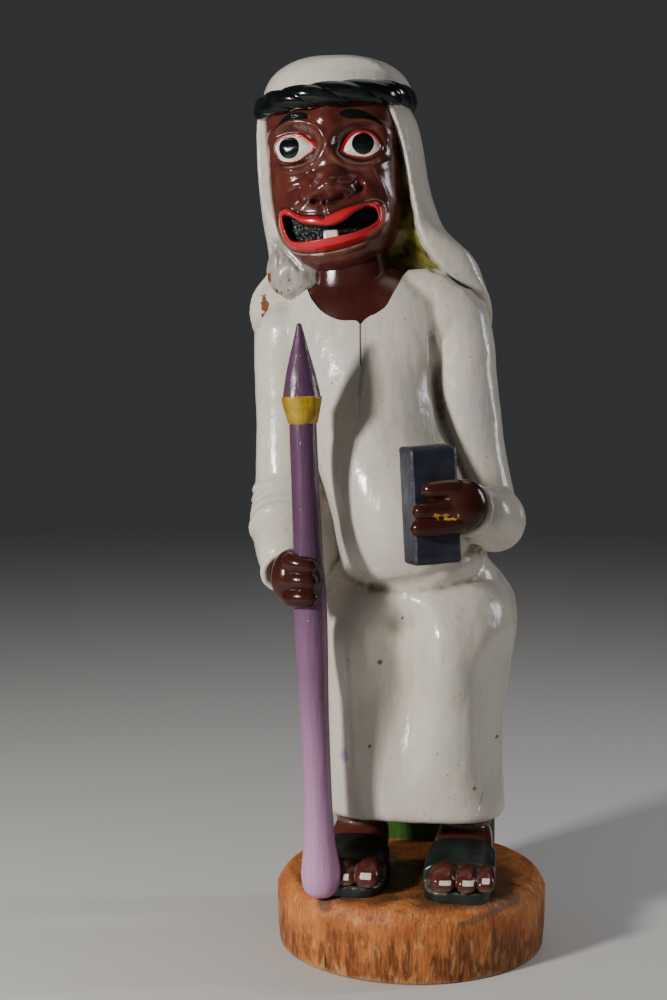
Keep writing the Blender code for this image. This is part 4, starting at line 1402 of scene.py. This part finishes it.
heel_away, heel_radii = FIST_HEEL
fist = fuse("fist", [
    oval(*FIST_PALM),
    tube(*FIST_WRIST),
    oval(staff_at(FIST_HEIGHT + heel_away[2]) + (*heel_away[:2], 0), heel_radii),
    *[bent_finger(*finger) for finger in FIST_FINGERS],
], HAND_VOXEL, HAND_SMOOTHING)
flat_hand = fuse("flat_hand", [
    tube(*FLAT_WRIST),
    oval(*FLAT_PALM, BLOCK_FACE),
    *[tube(*finger, BLOCK_FACE) for finger in FLAT_FINGERS],
], HAND_VOXEL, HAND_SMOOTHING)
for hand in (fist, flat_hand):
    note(hand, "hollow", hollows(hand, 16))

# %% [markdown]
# The staff hand's fingertips, which turn away from the light, are painted a dull dark grey as painted shade,
# and handling has rubbed the block hand's paint to small ochre chips and a pale spot on its thumb. Each is a
# place seen from the front, so the marks are measured across x and z on the finished skins.

# %% Hands: their paint
# Painted shade on the staff hand's fingertips, a dull dark grey.
SHADED_FINGERTIPS = [((-59, 272), (8.5, 24))]
FINGERTIP_SHADE = (0.02, 0.018, 0.015)
OCHRE_CHIPS = [((36, 327), (8, 1.3)), ((42, 324), (6, 1.0)), ((17, 345.5), (4, 1.2))]
CHIP_OCHRE = (0.42, 0.24, 0.03)


def hand_paint(piece, marks, colour, wobble):
    finish, coat = skin_gloss(piece.name + "_gloss", 0.42, 0.3)
    x, y, z = places(piece).T
    note(piece, "mark", nearest_oval(x, z, marks))
    finish.paint(finish.over(coat, colour, finish.ragged("mark", (260, 4), (-wobble, wobble), 0.9, 1.1)))
    return finish


dress(fist, hand_paint(fist, SHADED_FINGERTIPS, FINGERTIP_SHADE, 0.25), "skin_paint", "carved_figure")
dress(flat_hand, hand_paint(flat_hand, OCHRE_CHIPS, CHIP_OCHRE, 0.9), "skin_paint", "carved_figure")

# %% [markdown]
# The feet stand on the base in flat sandals. Each foot is a low loft with three toes, its sandal is a thick
# sole with a rounded outline and one broad strap. The toenails are only painted, so they are marks on the
# skin, not pieces.

# %% Feet and sandals
FEET = {
    "right": ((48.5, 12, 0), 1, ((36.5, 10.8, -98, 27.5), (56, 8.8, -97, 26), (72, 8, -93, 25))),
    "left": ((-45, 12, 0), -1, ((-28, 10.4, -96, 27.5), (-46, 8.8, -94, 26), (-60, 8, -70, 24))),
}
NAILS = (
    ((38.8, 17.2), (4.9, 1.9)), ((58, 17.3), (4.7, 2.1)), ((72.5, 18.2), (3.2, 1.9)),
    ((-28.5, 18.7), (4.6, 2.5)), ((-45.5, 16.6), (2.3, 2.6)),
)
SOLE_THICK = 8.5
SOLE_SQUARENESS = 3.3
SOLE_LEVELS = ((-4, 1.0), (0, 1.0), (SOLE_THICK - 2, 1.0), (SOLE_THICK, 0.97))
TOE_ROWS = (
    (40, 0.9, 0, 2), (22, 1, 0, 0), (12, 1, 0, 1), (6, 0.97, 0.3, 3.5), (2.5, 0.86, 1, 6.5),
    (0.6, 0.64, 2, 9), (0, 0.4, 4, 11.5),
)
FOOT_ROWS = (
    (-14, 0, 15, 6, 28), (-4, 0, 23, 2, 44), (16, 0, 25, 2, 50), (40, 0, 27, 2, 39), (62, 0, 28, 2, 29),
    (78, 0, 27, 2, 24), (86, 0, 25, 2, 18),
)
FOOT_VOXEL = 1.1
FOOT_SMOOTHING = 2
STRAP_ROWS = (
    (47, 0, 28.5, 0, 36), (48, 0, 29.8, 0, 38.3), (51, 0, 30.4, 0, 38), (64, 0, 31, 0, 31.6),
    (76, 0, 31.6, 0, 26.4), (79, 0, 31.4, 0, 25), (80, 0, 30, 0, 23),
)


def lying(heel):
    """The frame of a foot: its length lies towards the front, from the heel."""
    return Matrix.Translation(heel) @ Matrix.Rotation(math.pi / 2, 4, "X")


def toe(x, radius, front, top, heel):
    """A blunt toe that stands on the sole. A row of it says how far back from the tip it is, its share of the
    width, and how far its bottom and its top are drawn in."""
    low, reach = SOLE_THICK - 1, heel[1] - front
    rows = [(reach - back, x, radius * share, low + lift, top - drop) for back, share, lift, drop in TOE_ROWS]
    return loft(rows, squareness=2.5, sides=60, inside=lying((0, heel[1], 0)))


def foot_shells(heel, toes):
    ankle = tube([(heel[0], 4, 82), (heel[0], 0, 24)], (23, 24))
    return [loft(FOOT_ROWS, inside=lying(heel)), ankle] + [toe(*shape, heel) for shape in toes]


feet = fuse("feet", [
    shell for heel, inner, toes in FEET.values() for shell in foot_shells(heel, toes)
], FOOT_VOXEL, FOOT_SMOOTHING)
x, y, z = places(feet).T
nails = [np.maximum(np.abs(x - spot[0]) - radii[0], np.abs(z - spot[1]) - radii[1]) for spot, radii in NAILS]
note(feet, "nail", np.min(nails, axis=0), y < -85)
note(feet, "hollow", hollows(feet, 10))
note(feet, "low", z - SOLE_THICK)

# %% [markdown]
# Dust lies in the feet's hollows and low down, where they meet the sole. Both are measured on the skin, and
# a cloud breaks them up, because dust never lies evenly.

# %% Feet: their paint
FOOT_DUST = (0.22, 0.17, 0.12)
NAIL_WHITE = (0.68, 0.63, 0.53)


def foot_paint(name):
    finish, coat = skin_gloss(name, 0.85)
    in_hollows = finish.between(finish.reading("hollow"), 0.1, 0.8)
    dust = finish.math("MAXIMUM", in_hollows, finish.between(finish.reading("low"), 0.5, 4, 1, 0))
    dust = finish.product(dust, finish.between(finish.cloud(240, 4), 0.35, 0.55, 0.35, 0.9))
    coat = finish.over(coat, FOOT_DUST, dust)
    finish.paint(finish.over(coat, NAIL_WHITE, brushed_to(finish, "nail")))
    return finish


dress(feet, foot_paint("foot_gloss"), "skin_paint", "carved_figure")

# %% [markdown]
# A sandal is one dark shape: a thick sole, wider at the toes and cut off square there, and a broad strap
# over the instep. A line of dust marks the sole's upper rim.

# %% Sandals
SANDAL_BLACK, SANDAL_WORN = (0.006, 0.009, 0.008), (0.018, 0.028, 0.023)
SANDAL_DUST = (0.2, 0.17, 0.12)


def sole_shell(heel, inner, toes):
    length = heel[1] - min(front for x, radius, front, top in toes)
    run, wide = rounded(turned(96), SOLE_SQUARENESS)
    ahead = (1 + run) / 2
    y = heel[1] + 14 - ahead * (length + 12) + 4 * inner * wide * ahead
    return skin_over([np.stack((heel[0] + wide * (29 + 4 * run) * share, y, 0 * y + z), axis=1)
                      for z, share in SOLE_LEVELS])


def sandal_paint(name):
    finish = Finish(name, 0.3)
    coat = finish.flecked(SANDAL_BLACK, SANDAL_WORN, (45, 4), (0.4, 0.75))
    rim = finish.math("ABSOLUTE", finish.math("SUBTRACT", finish.reading("low"), SOLE_THICK))
    broken = finish.between(finish.cloud(220, 4), 0.38, 0.58)
    dust = finish.product(finish.between(rim, 0.5, 2.6, 0.7, 0), broken)
    finish.paint(finish.over(coat, SANDAL_DUST, dust))
    finish.relief(finish.cloud(120, 4), 0.0007)
    return finish


straps = [loft(STRAP_ROWS, 2.8, inside=lying(heel)) for heel, inner, toes in FEET.values()]
soles = [sole_shell(*foot) for foot in FEET.values()]
sandals = fuse("sandals", straps + soles, FOOT_VOXEL, FOOT_SMOOTHING)
note(sandals, "low", places(sandals)[:, 2])
dress(sandals, sandal_paint("sandal_black"), "black_paint", "carved_figure")

# %% [markdown]
# Behind the legs the stool is left as an upright slab of the log, painted green. Little of it shows from
# the front: a strip beside the right foot and a dim patch between the feet.

# %% Stool
STOOL_ROWS = (
    (-6, 4, 67, 79, 105), (0, 4, 67, 79, 105), (150, 4, 67, 79, 105), (190, 4, 70, 60, 104),
    (215, 4, 74, 40, 100),
)
STOOL_GREEN, STOOL_LEAF = (0.025, 0.085, 0.012), (0.05, 0.125, 0.02)
STOOL_DIRT = (0.03, 0.035, 0.012)


def stool_paint(name):
    finish = Finish(name, 0.32)
    coat = finish.flecked(STOOL_GREEN, STOOL_LEAF, (30, 4), (0.35, 0.7))
    finish.paint(finish.flecked(coat, STOOL_DIRT, (70, 4), (0.6, 0.75), 0.7))
    finish.relief(finish.cloud(60, 4, (3, 3, 0.5)), 0.001)
    return finish


stool = fuse("stool", [loft(STOOL_ROWS)], 2.4, 2)
dress(stool, stool_paint("stool_green"), "stool_paint", "carved_figure")

# %% [markdown]
# The base is a slice of the log with its bark off, stained orange-brown. Its side keeps the long grain as
# shallow vertical flutes, its upper edge is worn round, and drying has opened two short cracks from below.
# A loft of many fine rings carries all this, with the grain's noise stretched along the log.

# %% Base: its form
BASE_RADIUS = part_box("carved_figure")[1].x / MM
BASE_THICKNESS = BASE_TOP / MM
BASE_WORN = 13.0
CRACKS = ((-2.13, 17), (-1.10, 12))


def base_profile():
    """(height, radius) from the middle of the underside round to the middle of the top."""
    side = np.linspace(-BASE_THICKNESS + 2, -BASE_WORN, 34)
    belly = BASE_RADIUS - 0.4 - 2.2 * (np.abs(side / BASE_THICKNESS + 0.42) / 0.58) ** 2
    rim = np.linspace(0, math.pi / 2, 10)[1:]
    top = BASE_RADIUS - 2.2 - BASE_WORN
    under = [(-BASE_THICKNESS, share * (BASE_RADIUS - 4.5)) for share in (0.03, 0.5, 0.9, 1.0)]
    rows = under + [(-BASE_THICKNESS + 0.6, BASE_RADIUS - 3.2)] + list(zip(side, belly))
    rows += [(BASE_WORN * (math.sin(angle) - 1), top + BASE_WORN * math.cos(angle)) for angle in rim]
    rows += [(0, top * share) for share in np.linspace(0.97, 0.02, 30)]
    return np.array(rows)


print("base:", round(2 * BASE_RADIUS, 1), "mm wide and", round(BASE_THICKNESS, 1), "mm thick")

# %% [markdown]
# The profile is turned into rings, and the rings' points are then pushed in: flutes along the grain and
# cracks on the side, and wear at the rim. The marks of wear and dirt, and the painted shade round the feet,
# are measured on the plain drum before that, where they are simple ovals and lines.

# %% Base: its skin
BASE_SIDES = 420
FLUTES = ((0.45, (5, 5, 70), 0), (0.5, (26, 26, 60), 4))
FLUTES_DEEP = 0.7
WEAR_DEEP_SIDE, WEAR_DEEP_TOP = 1.1, 0.8
CRACK_DEEP, CRACK_WIDTH = 3.5, 0.9
SCUFF = ((55, -14), (72, -10), (98, -6))
SCUFF_WIDTH = 2.6
SMUDGE = ((-64, -6), (9, 10))
# The ovals round the feet where the top gets its painted shade.
NEAR_FEET = (((-40, -38), (52, 78)), ((44, -38), (52, 78)))

profile = base_profile()
angle = turned(BASE_SIDES)
base_z, base_r = profile[:, :1] + 0 * angle, profile[:, 1:] + 0 * angle
base_x, base_y = base_r * np.cos(angle), base_r * np.sin(angle)
flat = np.stack((base_x.ravel(), base_y.ravel(), base_z.ravel()), axis=1)
flutes = layered_grain(flat, FLUTES).reshape(base_z.shape)
patchy = 0.7 + grain(flat, 19, 9).reshape(base_z.shape)
on_side = ease(base_r, BASE_RADIUS - 14, BASE_RADIUS - 8) * ease(base_z, -BASE_THICKNESS, -BASE_THICKNESS + 3)
wear = ease(base_z, -18, -3) * ease(base_r, BASE_RADIUS - 30, BASE_RADIUS - 12) * patchy
shrink = on_side * (flutes - FLUTES_DEEP) - WEAR_DEEP_SIDE * wear * on_side
outer = (profile[:, 1] > BASE_RADIUS - 5)[:, None]
for crack_at, reach in CRACKS:
    away = np.abs((angle - crack_at + math.pi) % (2 * math.pi) - math.pi) * BASE_RADIUS
    shrink -= CRACK_DEEP * crest(away, 0, CRACK_WIDTH) * ease(-BASE_THICKNESS + reach - base_z, 0, 8) * outer
sunk = WEAR_DEEP_TOP * wear * (1 - on_side)
factor = (base_r + shrink) / base_r
base_rings = np.stack((base_x * factor, base_y * factor, base_z - sunk), axis=-1)
base = mesh_piece("log_base", [skin_over(base_rings)])
flat_x, flat_y, flat_z = flat.T
facing_us = flat_y < 0
note(base, "scuff", line_distance(flat_x, flat_z, SCUFF) - SCUFF_WIDTH, facing_us)
note(base, "smudge", oval_reach(flat_x, flat_z, *SMUDGE), facing_us)
note(base, "near_feet", nearest_oval(flat_x, flat_y, NEAR_FEET))
note(base, "hollow", hollows(base, 6))

# %% [markdown]
# The stain is darkest where the log's fibres are open, so dark tongues climb the lower half of the side like
# flames, and the lowest few millimetres were never stained. The worn rim is a brighter orange, and the top
# round the feet is a darker brown, its stain deepened by painted shade under the figure.

# %% Base: its stain
STAIN_ORANGE, STAIN_BRIGHT = (0.42, 0.12, 0.026), (0.60, 0.21, 0.055)
TONGUE_BROWN = (0.085, 0.024, 0.004)
FINE_BROWN = (0.14, 0.042, 0.012)
PALE_WOOD = (0.68, 0.36, 0.17)
NEAR_FEET_BROWN, NEAR_FEET_SHADE = (0.15, 0.058, 0.018), (0.055, 0.026, 0.009)
UNSTAINED_WOOD = (0.42, 0.25, 0.12)
SCUFF_GREY = (0.10, 0.075, 0.05)
SMUDGE_BROWN = (0.05, 0.025, 0.016)
CRACK_BROWN = (0.03, 0.014, 0.006)


def log_stain(name):
    finish = Finish(name, 0.55, Specular_IOR_Level=0.35)
    coat = finish.flecked(STAIN_ORANGE, STAIN_BRIGHT, (34, 5), (0.38, 0.66))
    height = finish.add("ShaderNodeSeparateXYZ", {"Vector": finish.here}).outputs["Z"]
    low = finish.between(height, BASE_TOP - 0.016, BASE_TOP - 0.048, 0, 0.17)
    tongues = finish.math("ADD", finish.cloud(26, 7, (2.2, 2.2, 0.6), 0.66, 0.9), low)
    broken = finish.between(finish.cloud(120, 5, (3.5, 3.5, 0.5), 0.7), 0.35, 0.6, 0.25, 1)
    tongues = finish.between(tongues, 0.54, 0.66, 0, 0.92)
    coat = finish.over(coat, TONGUE_BROWN, finish.product(tongues, broken))
    coat = finish.flecked(coat, FINE_BROWN, (190, 4, (3, 3, 0.5)), (0.5, 0.75), 0.6)
    coat = finish.flecked(coat, PALE_WOOD, (90, 5, (2, 2, 0.8)), (0.56, 0.72), 0.6)
    # Painted shade on the top round the feet: a darker brown laid over the stain.
    brown = finish.flecked(NEAR_FEET_BROWN, NEAR_FEET_SHADE, (36, 5), (0.4, 0.62))
    on_top = finish.between(height, BASE_TOP - 0.006, BASE_TOP - 0.001)
    near_feet = finish.ragged("near_feet", (50, 4), (-0.25, 0.25), 0.85, 1.15, 0.9)
    coat = finish.over(coat, brown, finish.product(near_feet, on_top))
    uneven = finish.between(finish.cloud(60, 3), 0, 1, -0.005, 0.005)
    unstained = finish.between(finish.math("ADD", height, uneven), 0.001, 0.005, 0.6, 0)
    coat = finish.over(coat, UNSTAINED_WOOD, unstained)
    coat = finish.over(coat, SCUFF_GREY, finish.ragged("scuff", (130, 4), (-2, 2), -0.9, 1.2, 0.6))
    coat = finish.over(coat, SMUDGE_BROWN, finish.ragged("smudge", (50, 4), (-0.25, 0.25), 0.6, 1.1, 0.75))
    finish.paint(finish.over(coat, CRACK_BROWN, finish.between(finish.reading("hollow"), 0.12, 0.8, 0, 0.9)))
    finish.rough(finish.between(finish.cloud(40, 3), 0.3, 0.7, 0.42, 0.68))
    finish.relief(finish.cloud(110, 5, (3, 3, 0.5)), 0.0014)
    finish.relief(finish.cloud(420, 3), 0.0004)
    return finish


dress(base, log_stain("log_stain"), "stained_base", "carved_figure")

# %% [markdown]
# The staff is a whittled stick: a bulb at the foot, a long shaft, a flared collar and a pointed head. It is
# turned from one profile, spun round into rings, then waved very slightly, because it was cut by knife and
# not on a lathe.

# %% Staff: its form
STAFF_LENGTH = 484.0
STAFF_HEAD_RADIUS = 16.0
STAFF_FOOT_RADIUS = 16.8
COLLAR = (0.829, 0.8744)
TIP_ROWS = (
    (61, 0.985), (57, 0.95), (48.4, 0.85), (40, 0.74), (23.8, 0.48), (7.4, 0.22), (2.5, 0.15), (0.8, 0.10),
)
KNIFE_MARKS = ((0.32, (9, 9, 60), 2), (0.12, (4, 4, 9), 6))


def staff_profile():
    """(radius, distance along) of the staff from foot to point."""
    shaft, top, foot = STAFF_SHAFT_RADIUS, STAFF_HEAD_RADIUS, STAFF_FOOT_RADIUS
    low, high = (share * STAFF_LENGTH for share in COLLAR)
    lower = [
        (foot * 0.60, 0), (foot * 0.88, 5), (foot, 15), (foot * 0.96, 26), (shaft * 1.12, 48),
        (shaft * 1.02, 75), (shaft, 110), (shaft * 1.08, STAFF_LENGTH * 0.36),
        (shaft * 1.20, STAFF_LENGTH * 0.49), (shaft * 1.10, STAFF_LENGTH * 0.60),
        (shaft, STAFF_LENGTH * 0.72), (shaft * 0.97, low - 1),
    ]
    collar = [(shaft * 0.97, low - 0.4), (shaft * 1.06, low), (shaft * 1.2, low + 7), (top * 1.04, high - 4),
              (top * 1.06, high - 1), (top * 1.05, high)]
    point = [(top * share, STAFF_LENGTH - away) for away, share in TIP_ROWS]
    return np.vstack((flowing(lower, 8), collar, flowing(point, 8), [(0.02, STAFF_LENGTH)]))


spun_profile = staff_profile()
radius, reach = spun_profile[:, :1], spun_profile[:, 1:]
angle = turned(72)
rings = np.stack((radius * np.cos(angle), radius * np.sin(angle), reach + 0 * angle), axis=-1)
lean = Vector((*STAFF_LEAN, 1)).normalized()
tipped = Vector((0, 0, 1)).rotation_difference(lean).to_matrix().to_4x4()
staff_pose = Matrix.Translation((*STAFF_FOOT, 0)) @ tipped
upright = rings.reshape(-1, 3)
girth = np.linalg.norm(upright[:, :2], axis=1)
upright[:, :2] *= (1 + layered_grain(upright, KNIFE_MARKS) / np.maximum(girth, 4))[:, None]
staff = mesh_piece("whittled_staff", [skin_over(framed(upright.reshape(rings.shape), staff_pose))])
note(staff, "along", upright[:, 2])
note(staff, "hollow", hollows(staff, 4))

# %% [markdown]
# Its paint changes along the stick: a dusky violet on the point and down to the fist, then a paler, pinker
# violet to the foot, where the coat is thin and the wood shows in small nicks. The collar is ochre yellow.

# %% Staff: its paint
VIOLET, PALE_VIOLET = (0.086, 0.038, 0.080), (0.17, 0.078, 0.158)
THIN_VIOLET = (0.25, 0.125, 0.23)
PINK_VIOLET = (0.54, 0.29, 0.49)
NICK_WOOD = (0.45, 0.28, 0.08)
OCHRE, OCHRE_DARK = (0.42, 0.27, 0.012), (0.24, 0.13, 0.01)


def staff_paint(name):
    finish = Finish(name, 0.27)
    reach = finish.reading("along")
    spot = finish.math("ADD", reach, finish.between(finish.cloud(120, 2), 0, 1, -1.2, 1.2))
    coat = finish.over(PALE_VIOLET, VIOLET, finish.between(reach, FIST_HEIGHT - 60, FIST_HEIGHT + 40))
    patches = finish.between(finish.cloud(30, 4, (1, 1, 0.4)), 0.4, 0.7, 0, 0.6)
    coat = finish.over(coat, THIN_VIOLET, finish.product(patches, finish.between(reach, 260, 120)))
    coat = finish.over(coat, PINK_VIOLET, finish.between(reach, 190, 25, 0, 0.92))
    coat = finish.flecked(coat, NICK_WOOD, (300, 2, (1, 1, 0.8)), (0.73, 0.76))
    low, high = (share * STAFF_LENGTH for share in COLLAR)
    over_low, under_high = finish.between(spot, low - 1, low - 0.4), finish.between(spot, high + 0.6, high)
    ochre = finish.flecked(OCHRE, OCHRE_DARK, (90, 4), (0.4, 0.7))
    finish.paint(finish.over(coat, ochre, finish.product(over_low, under_high)))
    finish.relief(finish.cloud(80, 4, (3, 3, 0.4)), 0.0008)
    return finish


dress(staff, staff_paint("staff_violet"), "staff_paint", "staff")

# %% [markdown]
# The block is sawn square and painted a dull slate blue. Its edges are rubbed grey where hands hold it. A
# bevelled and finely divided box with a little noise gives edges that wander as a saw leaves them.

# %% Block
BLOCK_BEVEL = 1.3
BLOCK_CUTS = 20
BLOCK_WANDER = 0.35
SLATE, SLATE_WORN = (0.014, 0.015, 0.029), (0.029, 0.031, 0.047)
EDGE_GREY = (0.15, 0.14, 0.13)

shape = bmesh.new()
bmesh.ops.create_cube(shape, size=2)
bmesh.ops.scale(shape, verts=shape.verts, vec=BLOCK_HALF)
bmesh.ops.bevel(shape, geom=shape.edges, offset=BLOCK_BEVEL, segments=3, affect="EDGES")
long_edges = [edge for edge in shape.edges if edge.calc_length() > 5]
bmesh.ops.subdivide_edges(shape, edges=long_edges, cuts=BLOCK_CUTS, use_grid_fill=True)
block_points = np.array([tuple(vertex.co) for vertex in shape.verts])
block_faces = [[vertex.index for vertex in face.verts] for face in shape.faces]
shape.free()
block_points += BLOCK_WANDER * np.stack([grain(block_points, 11, seed) for seed in (1, 5, 9)], axis=1)
held_block = mesh_piece("sawn_block", [(framed(block_points, BLOCK_POSE), block_faces)])
note(held_block, "corner", np.sort(BLOCK_HALF - np.abs(block_points), axis=1)[:, 1])


def block_paint(name):
    finish = Finish(name, 0.45)
    coat = finish.flecked(SLATE, SLATE_WORN, (60, 5), (0.4, 0.7))
    finish.paint(finish.over(coat, EDGE_GREY, finish.ragged("corner", (180, 4), (-1.2, 2.8), 0.4, 1.8, 0.45)))
    finish.relief(finish.cloud(240, 4), 0.0006)
    return finish


dress(held_block, block_paint("block_slate"), "block_paint", "held_block")

# %% [markdown]
# The carving is shown on a pale floor. The camera stands where the photograph's did: a little to the right
# of the front, just above the middle, tipped down by four degrees. A small warm light stands high at the
# left and draws the shadows. A narrow one at the right, a little behind the carving, draws bright lines
# down the sleeve and the cheek.

# %% Floor and camera
FLOOR_COLOUR = (0.62, 0.61, 0.59, 1)
CAMERA_TURN = math.radians(9)
CAMERA_TILT = math.radians(4)
CAMERA_AWAY = 1.33
CAMERA_HEIGHT = 0.488
CAMERA_SHIFT = -0.070
LENS, SENSOR = 54, 36

bpy.ops.mesh.primitive_plane_add(size=8)
floor = bpy.context.object
floor.name = "floor"
plain = bpy.data.materials.new("pale_floor")
plain.use_nodes = True
plain.node_tree.nodes["Principled BSDF"].inputs["Base Color"].default_value = FLOOR_COLOUR
plain.node_tree.nodes["Principled BSDF"].inputs["Roughness"].default_value = 0.8
floor.data.materials.append(plain)

back = Vector((math.sin(CAMERA_TURN), -math.cos(CAMERA_TURN), 0))
right = Vector((math.cos(CAMERA_TURN), math.sin(CAMERA_TURN), 0))
ahead = -back * math.cos(CAMERA_TILT) + Vector((0, 0, -math.sin(CAMERA_TILT)))
camera = new_piece("camera", bpy.data.cameras.new("camera"))
camera.data.lens = LENS
camera.data.sensor_width = SENSOR
camera.location = back * CAMERA_AWAY + right * CAMERA_SHIFT + Vector((0, 0, CAMERA_HEIGHT))
camera.rotation_euler = ahead.to_track_quat("-Z", "Y").to_euler()
bpy.context.scene.camera = camera
print("camera:", [round(value, 3) for value in camera.location])

# %% [markdown]
# Each light is a row: where it stands, where it aims, its size, its power and its colour. A small light
# gives a firm shadow and a sharp highlight on gloss, and a large one only lifts the dark.

# %% Lights
LIGHTS = {
    "key": ((-1.0, -1.15, 0.80), (0, 0, 0.42), (0.17, 0.17), 29, (1.0, 0.97, 0.93)),
    "right": ((1.2, 0.34, 0.74), (0, 0, 0.42), (0.09, 0.5), 4.6, (0.97, 0.98, 1.0)),
    "fill": ((0.3, -2.2, 0.7), (0, 0, 0.4), (1.2, 1.2), 0.8, (1, 1, 1)),
    "above": ((0.2, 0.4, 2.4), (0, 0, 0), (1.5, 1.5), 9, (1, 1, 1)),
}
ROOM_COLOUR = (0.9, 0.93, 1.0, 1)
ROOM_STRENGTH = 0.04

for name, (place, aim, size, power, colour) in LIGHTS.items():
    lamp = bpy.data.lights.new(name, "AREA")
    lamp.shape = "RECTANGLE"
    lamp.size, lamp.size_y = size
    lamp.energy = power
    lamp.color = colour
    light = new_piece(name, lamp)
    light.location = place
    light.rotation_euler = (Vector(aim) - Vector(place)).to_track_quat("-Z", "Y").to_euler()
world = bpy.data.worlds.new("studio")
world.use_nodes = True
world.node_tree.nodes["Background"].inputs["Color"].default_value = ROOM_COLOUR
world.node_tree.nodes["Background"].inputs["Strength"].default_value = ROOM_STRENGTH
bpy.context.scene.world = world
print("lights:", ", ".join(LIGHTS))
